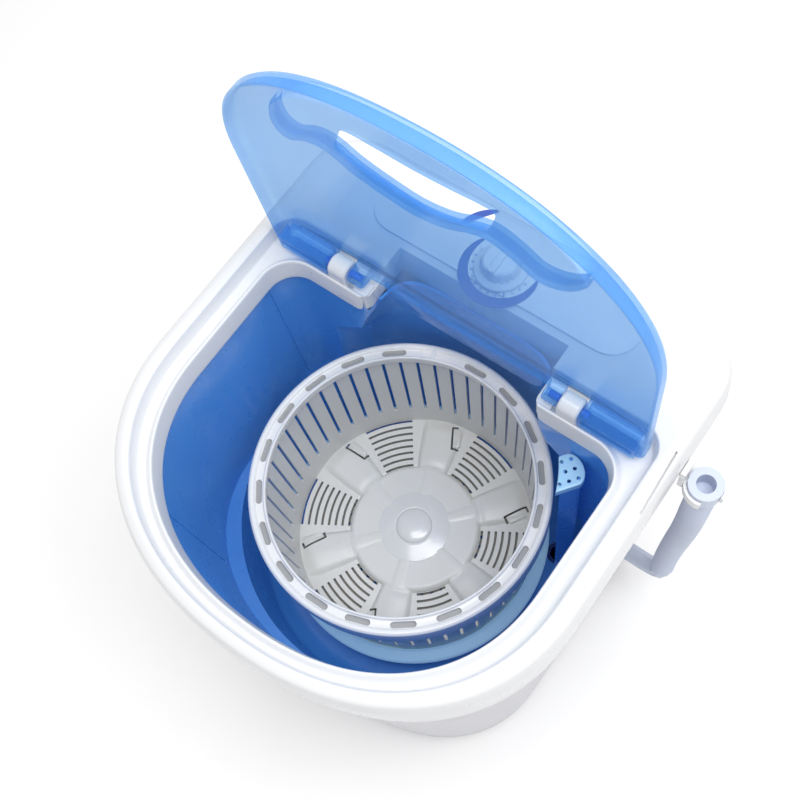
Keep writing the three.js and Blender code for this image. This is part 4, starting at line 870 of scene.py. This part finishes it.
def basket_rows():
    """Radius and height of each row, from the middle of the floor to the top of the wall. On the
    floor a row has no height, since floor_height() gives it, or the mark of a vent's inner edge."""
    rows = [(r, None) for r in DISC_ROWS]
    for row in range(VENT_ROWS):
        r = VENT_START + row * VENT_PITCH
        rows += [(r, "vent"), (r + VENT_WIDTH, None), (r + VENT_WIDTH + 1.6, None)]
    corner = 1.0
    for t in np.linspace(0.2, 1, 5) * math.pi / 2:
        r = BASKET_FLOOR_R - corner + corner * math.sin(t)
        rows.append((r, BASKET_FLOOR + corner * (1 - math.cos(t))))
    top_z = -RIM_DROP - 11.3
    lean = (BASKET_TOP_R - BASKET_FLOOR_R) / (top_z - BASKET_FLOOR)
    for z in (SLOT_BOTTOM - 12, SLOT_BOTTOM, SLOT_BOTTOM + 25, SLOT_TOP - 26, SLOT_TOP, top_z):
        rows.append((BASKET_FLOOR_R + (z - BASKET_FLOOR) * lean, z))
    return rows


def basket_points(rows, turns):
    points = []
    for r, z in rows:
        for turn in turns:
            height = floor_height(r, off_sector(turn)) if z in (None, "vent") else z
            angle = math.radians(turn)
            points.append((r * math.cos(angle), r * math.sin(angle), height))
    return points


def basket_faces(rows, turns):
    """Quads between the rows, left out where a vent or a wall slot is open."""
    faces = []
    count = len(turns)
    for a in range(len(rows) - 1):
        low_z, high_z = rows[a][1], rows[a + 1][1]
        on_wall = isinstance(low_z, (int, float)) and SLOT_BOTTOM <= low_z < high_z <= SLOT_TOP
        for i in range(count):
            j = (i + 1) % count
            middle = (turns[i] + (turns[j] if j else 360)) / 2
            if low_z == "vent" and off_sector(middle) < VENT_HALF:
                continue
            if on_wall and in_slot(middle):
                continue
            faces.append((a * count + i, a * count + j, (a + 1) * count + j, (a + 1) * count + i))
    faces.append(tuple(reversed(range(count))))
    return faces


def make_basket():
    rows, turns = basket_rows(), basket_turns()
    mesh = bpy.data.meshes.new("basket")
    mesh.from_pydata(basket_points(rows, turns), [], basket_faces(rows, turns))
    obj = bpy.data.objects.new("basket", mesh)
    bpy.context.scene.collection.objects.link(obj)
    # The outer face takes the glowing pale blue: painted light on a wall in shade.
    materials = [BASKET_WHITE, BASKET_OUTER_PAINTED_GLOW]
    for material in materials:
        mesh.materials.append(material)
    thicken = obj.modifiers.new("wall", "SOLIDIFY")
    thicken.thickness = BASKET_WALL
    thicken.offset = -1
    thicken.material_offset = 1
    baked(obj)
    hooks = [hook_slot(arm_turn(i)) for i in range(SECTORS)]
    cut(obj, merged(hooks))
    return settle(obj, "basket_moulding", "basket", materials, ["basket"], angle=40)


def arm_turn(i):
    return SECTOR_STEP * i + SECTOR_STEP / 2 + SECTOR_TURN


def hook_slot(turn):
    """A hooked slot in a floor arm: a bar with a short leg at each end."""
    low, high = BASKET_FLOOR - 6, BASKET_FLOOR + 9
    bar = solid(block(-11.5, 11.5, -0.9, 0.9, low, high, 0.8))
    near = solid(block(-11.5, -9.4, -6.0, 0.9, low, high, 0.8))
    far = solid(block(9.4, 11.5, -5.0, 0.9, low, high, 0.8))
    return place_hook(join(bar, near, far), turn)


def place_hook(obj, turn):
    turn_about_axis(obj, HOOK_TURN)
    return turn_about_axis(moved(obj, *HOOK_PLACE), turn)


def make_hook_pads():
    """Raised pads beside the hooked slots."""
    pads = []
    for i in range(SECTORS):
        pad = solid(block(-8.8, 8.8, -7.4, -1.5, BASKET_FLOOR - 0.4, BASKET_FLOOR + 5.2, 2.4, 1.0))
        pads.append(place_hook(pad, arm_turn(i)))
    settle(merged(pads), "basket_pads", "basket", BASKET_WHITE)


def make_vent_tray():
    """The plate close under the vents, with three drain holes behind each inner row."""
    low = BASKET_FLOOR - 5.2
    high = low + 1.4
    tray = solid(turned([(56.5, low), (103, low), (103, high), (56.5, high)], 0, 120, ring=True))
    holes = []
    for i in range(SECTORS):
        for step in (-8.5, 0, 8.5):
            hole = upright_rod(1.5, low - 4, low + 4, 14, VENT_START + VENT_WIDTH / 2)
            holes.append(turn_about_axis(hole, SECTOR_STEP * i + SECTOR_TURN + step))
    cut(tray, merged(holes))
    settle(tray, "basket_vent_tray", "basket", VENT_GREY)


def make_base_ring():
    """The wider ring round the foot of the basket."""
    low = BASKET_FLOOR - 1
    profile = [
        (BASKET_FLOOR_R + 1, low), (BASE_R - 1.2, low), (BASE_R, low + 1.4), (BASE_R, low + 5),
        (BASE_R - 1.4, low + 6.6), (BASKET_FLOOR_R + 3.4, low + 8.4), (BASKET_FLOOR_R + 1.4, low + 10),
    ]
    ring = solid(turned(profile, 0.6, 240, ring=True))
    # Painted light: the ring glows with the outer wall's emission.
    settle(ring, "basket_base_ring", "basket", BASKET_OUTER_PAINTED_GLOW, angle=40)


def rim_blocks(inner, outer, half, low, high):
    """A rounded block for each of the rim's pockets; the tab takes the place of one pocket."""
    blocks = []
    for i in range(RIM_POCKETS):
        if i != RIM_TAB_PLACE:
            each = solid(block(inner, outer, -half, half, low, high, 2.4))
            blocks.append(turn_about_axis(each, i * 360 // RIM_POCKETS + RIM_POCKET_TURN))
    return merged(blocks)


def make_rim():
    """The ring on the basket, with a skirt outside and pockets on top, each holding a dark bed of painted
    shade.
    """
    top, low = -RIM_DROP, -RIM_DROP - RIM_HEIGHT
    profile = [
        (RIM_INNER_R + 1, low), (RIM_R - 3, low), (RIM_R - 3, low - RIM_SKIRT),
        (RIM_R - 0.6, low - RIM_SKIRT - 0.6), (RIM_R, low - RIM_SKIRT + 1),
        (RIM_R, top - 1.6), (RIM_R - 1.8, top), (RIM_R - 4.6, top - 0.2),
        (RIM_R - 6, top - 2.2), (RIM_INNER_R + 2.6, top - 2.2), (RIM_INNER_R + 1.9, top - 0.2),
        (RIM_INNER_R + 0.8, top), (RIM_INNER_R, top - 1.0),
    ]
    ring = solid(turned(profile, 0.8, 240, ring=True))
    cut(ring, rim_blocks(RIM_INNER_R + 3.2, RIM_R - 6.4, 10, top - 9, top + 3))
    # Painted shade: grey beds set into the pockets.
    shade_beds = rim_blocks(RIM_INNER_R + 3.0, RIM_R - 6.2, 10.2, top - 9.6, top - 5.6)
    settle(shade_beds, "basket_rim_pocket_shade", "basket", POCKET_PAINTED_SHADE)
    tab = solid(block(RIM_INNER_R + 0.8, RIM_R - 2, -1.4, 1.4, top - 3, top - 0.1, 0.6, 0.4))
    join(ring, turn_about_axis(tab, RIM_TAB_TURN))
    return settle(ring, "basket_rim_ring", "basket", RIM_WHITE, ["basket_rim"], angle=40)


def make_cap():
    """A shallow cone with a glossy dome in the middle."""
    base = BASKET_FLOOR + ARM_RISE * 0.9 + 0.3
    profile = [
        (CAP_R, base), (CAP_R, base + 1.2), (CAP_R - 1.2, base + 2.2),
        (DOME_R + 1.6, base + 5.0), (DOME_R + 0.4, base + 4.8),
    ]
    for t in np.linspace(0.0, 1, 12):
        turn = t * math.pi / 2
        profile.append((DOME_R * math.cos(turn), base + 5.4 + 3.6 * math.sin(turn)))
    obj = solid(turned(profile, 0.4))
    return settle(obj, "basket_cap_dome", "basket", CAP_GREY, ["basket_cap"], angle=50)


# ------------------------------------------------------------ lid
POCKET_EDGE = [
    (-107, -84), (-97, -81), (-82, -90), (-68, -92), (-51, -83), (-30, -77), (-8, -74), (14, -79),
    (34, -91), (46, -94), (60, -88), (75, -79), (92, -84), (105, -98), (107, -112), (98, -128),
    (78, -142), (50, -151), (14, -156), (-22, -155), (-56, -149), (-84, -136), (-103, -116), (-110, -98),
]
HAND_SLOT = [
    (-47, -130), (-54, -118), (-58, -105), (-50, -99), (-36, -95), (-14, -92), (6, -91), (20, -95),
    (33, -101), (44, -107), (49, -118), (52, -131), (44, -133), (24, -131), (0, -130), (-26, -131),
]


INNER_POST = POST_X - POST_HALF - POST_GAP
OUTER_POST = POST_X + POST_HALF + POST_GAP
LID_UNDER = LID_TOP - LID_WALL
LID_POCKET_FLOOR = LID_UNDER - 10
KNUCKLE_R = 6.5
KNUCKLE_LENGTH = 12
COVER_LENGTH = 44


def lid_shell():
    """The lid's panel and skirt, with its rear edge open between the hinge posts."""
    def at(grow, z):
        return level(outline(LID, grow), z)
    low = LID_TOP - 15.5
    levels = [
        at(-14, LID_TOP), at(-2.4, LID_TOP - 3.4), at(0, LID_TOP - 7), at(0, low), at(-LID_WALL, low),
        at(-LID_WALL, LID_TOP - 8), at(-4.4, LID_TOP - 5.6), at(-15, LID_TOP - LID_WALL),
    ]
    shell = solid(skin(soften(levels, 1.4)), "lid")
    return cut(shell, solid(block(-INNER_POST, INNER_POST, 92, 100, 0, LID_UNDER)))


def pocket_block(edge, inset, low, high):
    """The finger pocket's plan as a block with a rounded lower edge."""
    foot, wall = offset_loop(edge, -inset - 2), offset_loop(edge, -inset)
    return solid(skin(soften([level(foot, low), level(wall, low + 2.5), level(wall, high)], 1.5)))


def knuckle(side):
    points = [(HINGE_Y + KNUCKLE_R, LID_TOP - 1), (HINGE_Y - KNUCKLE_R, LID_TOP - 1)]
    points += hinge_arc(KNUCKLE_R, math.pi, 13)
    return solid(side_block(points, *mirrored_span(side, INNER_POST, INNER_POST - KNUCKLE_LENGTH), 0.6))


def hinge_cover(side):
    span = mirrored_span(side, OUTER_POST, OUTER_POST + COVER_LENGTH)
    return solid(block(*span, HINGE_Y - 9, HINGE_Y + 7, 0.6, LID_TOP - 1, 1.5))


def lid_cutters(side):
    """Clearance round a hinge post and beside the tongue, a cover's hollow and the pin's bore."""
    around = mirrored_span(side, INNER_POST, OUTER_POST)
    beside = mirrored_span(side, TONGUE_HALF, INNER_POST)
    inside = mirrored_span(side, OUTER_POST + LID_WALL, OUTER_POST + COVER_LENGTH - LID_WALL)
    near, far = HINGE_Y - 9 + LID_WALL, HINGE_Y + 7 - LID_WALL
    return [
        solid(block(*around, HINGE_Y - 11, 103, -5, 30)),
        solid(block(*beside, HINGE_Y + 7.5, 103, -5, 30)),
        solid(block(*inside, near, far, -5, LID_TOP - LID_WALL)),
        solid(cross_rod(PIN_R + PIN_GAP, *mirrored_span(side, *PIN_BORE_ENDS), HINGE_Y, HINGE_Z)),
    ]


def make_lid():
    shell = lid_shell()
    edge = smooth_loop(POCKET_EDGE)
    floor = LID_POCKET_FLOOR
    cut(shell, pocket_block(edge, LID_WALL, floor + LID_WALL, LID_UNDER + 9))
    pocket = pocket_block(edge, 0, floor, LID_UNDER + 1)
    cut(pocket, pocket_block(edge, LID_WALL, floor + LID_WALL, LID_UNDER + 9))
    tongue_plan = (-TONGUE_HALF, TONGUE_HALF, HINGE_Y, HINGE_Y + 34)
    join(shell, pocket, solid(block(*tongue_plan, LID_UNDER, LID_TOP, 14, 0.6)))
    slot_edge = smooth_loop(HAND_SLOT)
    cut(shell, solid(skin([level(slot_edge, floor - 5), level(slot_edge, floor + 8)])))
    join(shell, knuckle(-1), hinge_cover(-1), knuckle(1), hinge_cover(1))
    cut(shell, *lid_cutters(-1), *lid_cutters(1))
    return settle(shell, "lid_panel", "lid", CLEAR_BLUE, ["lid"], LID_TURN, angle=38)


def make_pins():
    for side, name in ((-1, "left"), (1, "right")):
        rod = solid(cross_rod(PIN_R, *mirrored_span(side, *PIN_ENDS), HINGE_Y, HINGE_Z))
        bevel(rod, 0.5, 50)
        settle(rod, "lid_pin_" + name, "lid", DEEP_BLUE, ["hinge_pin_" + name], LID_TURN)


# ------------------------------------------------------------ console
DECK = DECK_RISE + 0.3
PLATE_THICK = 1.8
PRINT_THICK = 0.12
TICK_COUNT = 13
TICK_START = 165  # degrees
TICK_STEP = 16  # degrees
FLUTE_COUNT = 20
CRESCENT = (23.5, 32, 150, 372)  # inner and outer radius, start and end in degrees
SWEEP = (45, 51, 126, 164)


def make_console():
    plate = solid(block(-112, 112, 130, 184, DECK, DECK + PLATE_THICK, 22, 0.6))
    cut(plate, knob_hole())
    settle(plate, "console_plate", "cabinet", WHITE_MATT, ["control_panel"])


def arc_band(inner, outer, start, end, low, steps=48):
    """A flat printed band round the knob, tapering to its ends."""
    turns = np.radians(np.linspace(start, end, steps))
    share = np.sin(np.linspace(0, math.pi, steps)) ** 0.6
    middle, half = (inner + outer) / 2, (outer - inner) / 2 * (0.15 + 0.85 * share)
    near = np.column_stack([np.cos(turns), np.sin(turns)]) * (middle - half)[:, None]
    far = np.column_stack([np.cos(turns), np.sin(turns)]) * (middle + half)[:, None]
    flat = np.concatenate([near, far[::-1]]) + np.array([0, KNOB_Y])
    return solid(skin([level(flat, low), level(flat, low + PRINT_THICK)]))


def make_prints():
    """A crescent and ticks round the knob, and a short sweep beside them."""
    top = DECK + PLATE_THICK
    prints = [arc_band(*band, top + 0.01) for band in (CRESCENT, SWEEP)]
    for i in range(TICK_COUNT):
        tick = solid(block(20.6, 22.6, -0.45, 0.45, top, top + PRINT_THICK))
        prints.append(moved(turn_about_axis(tick, TICK_START + i * TICK_STEP), 0, KNOB_Y))
    settle(merged(prints), "dial_print", "cabinet", PRINT)


def make_knob():
    """A stepped disc with a bar grip across it and fine flutes round its side."""
    low = DECK + 0.6 + PLATE_THICK
    profile = [
        (3.4, low), (20, low), (20, low + 2.4), (15.4, low + 4.6), (13.4, low + 12.6),
        (11.4, low + 14), (3.4, low + 14),
    ]
    disc = solid(turned(profile, 0.9, 96, ring=True))
    grip = solid(block(-3, 3, -14, 14, low + 3, low + 17, 2.4, 1.2))
    knob = join(disc, upright_rod(6, low + 10, low + 14.2, 48), grip)
    cut(knob, upright_rod(3.3, low - 2, low + 9, 32))
    flutes = []
    for i in range(FLUTE_COUNT):
        if i % (FLUTE_COUNT // 4):
            flute = upright_rod(0.9, low + 5, low + 20, 10, 15.0)
            flutes.append(turn_about_axis(flute, (i + 0.5) * 360 / FLUTE_COUNT))
    cut(knob, merged(flutes))
    moved(knob, 0, KNOB_Y)
    settle(knob, "timer_knob_grip", "knob", WHITE_MATT, ["timer_knob"])


# ------------------------------------------------------------ carried-over CAD nodes
FINISHES = {
    "base_plate": ZINC, "back_cover": WHITE_MATT, "water_inlet": WHITE_MATT, "cord_gland": BLACK,
    "pulsator": TUB_BLUE, "drive_shaft": STEEL, "bearing_housing": ZINC, "upper_bearing": STEEL,
    "lower_bearing": STEEL, "shaft_seal": RUBBER, "driven_pulley": ZINC, "drive_belt": RUBBER,
    "motor_bracket": ZINC, "motor": ZINC, "motor_shaft": STEEL, "motor_pulley": ZINC,
    "capacitor": WHITE_MATT, "capacitor_clip": STEEL, "timer_body": BLACK, "timer_shaft": STEEL,
    "drain_pipe": NAVY, "drain_elbow": HOSE, "hose_cuff": HOSE, "hose_hook": WHITE,
}
PREFIXES = {"foot_screw_": STEEL, "foot_": RUBBER, "back_screw_": STEEL, "motor_grommet_": RUBBER}
BEVELLED = {"back_cover": 0.5, "hose_hook": 0.6, "hose_cuff": 0.5, "water_inlet": 0.4, "cord_gland": 0.4}


def finish_nodes():
    for name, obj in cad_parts.items():
        material = FINISHES.get(name)
        for prefix, each in PREFIXES.items():
            if material is None and name.startswith(prefix):
                material = each
        if material is None:
            continue
        obj.data.materials.clear()
        obj.data.materials.append(material)
        if name in BEVELLED:
            modifier = obj.modifiers.new("edges", "BEVEL")
            modifier.width = BEVELLED[name] * MM
            modifier.segments = 2
            modifier.limit_method = "ANGLE"
            modifier.angle_limit = math.radians(40)


# ------------------------------------------------------------ floor and lights, in metres
FLOOR_REACH = 6.0
FLOOR_GLOW = 0.09
SKY_LIGHT = 0.62
LAMP_AIM = (0, 0, 0.4)
LAMPS = [
    ("key", (0.60, 0.16, 1.75), 0.6, 8.5),
    ("front", (0.10, -0.12, 1.85), 0.6, 7.5),
    ("back", (-0.5, 1.4, 1.3), 1.2, 4.0),
]


def make_floor():
    r = FLOOR_REACH
    mesh = bpy.data.meshes.new("floor")
    mesh.from_pydata([(-r, -r, 0), (r, -r, 0), (r, r, 0), (-r, r, 0)], [], [(0, 1, 2, 3)])
    floor = bpy.data.objects.new("floor", mesh)
    bpy.context.scene.collection.objects.link(floor)
    material, nodes, links, surface = node_tools("floor")
    drift = noise(nodes, links, 1.5)
    links.new(ramp(nodes, links, drift, 0.97, 0.985), surface.inputs["Base Color"])
    surface.inputs["Roughness"].default_value = 0.9
    surface.inputs["Emission Color"].default_value = (1.0, 1.0, 1.0, 1)
    surface.inputs["Emission Strength"].default_value = FLOOR_GLOW
    mesh.materials.append(material)


def make_lights():
    world = bpy.data.worlds.new("studio")
    world.use_nodes = True
    sky = world.node_tree.nodes["Background"]
    sky.inputs["Color"].default_value = (1.0, 1.0, 1.0, 1)
    sky.inputs["Strength"].default_value = SKY_LIGHT
    bpy.context.scene.world = world
    for name, place, size, power in LAMPS:
        light = bpy.data.lights.new(name, "AREA")
        light.size = size
        light.energy = power
        lamp = bpy.data.objects.new(name, light)
        bpy.context.scene.collection.objects.link(lamp)
        lamp.location = place
        aim = Vector(LAMP_AIM) - Vector(place)
        lamp.rotation_euler = aim.to_track_quat("-Z", "Y").to_euler()
    bpy.context.scene.view_settings.view_transform = "Standard"


make_cabinet()
finish_frame(make_frame())
make_tub()
make_overflow()
make_basket()
make_base_ring()
make_rim()
make_cap()
make_hook_pads()
make_vent_tray()
make_lid()
make_pins()
make_console()
make_prints()
make_knob()
finish_nodes()
make_floor()
make_lights()
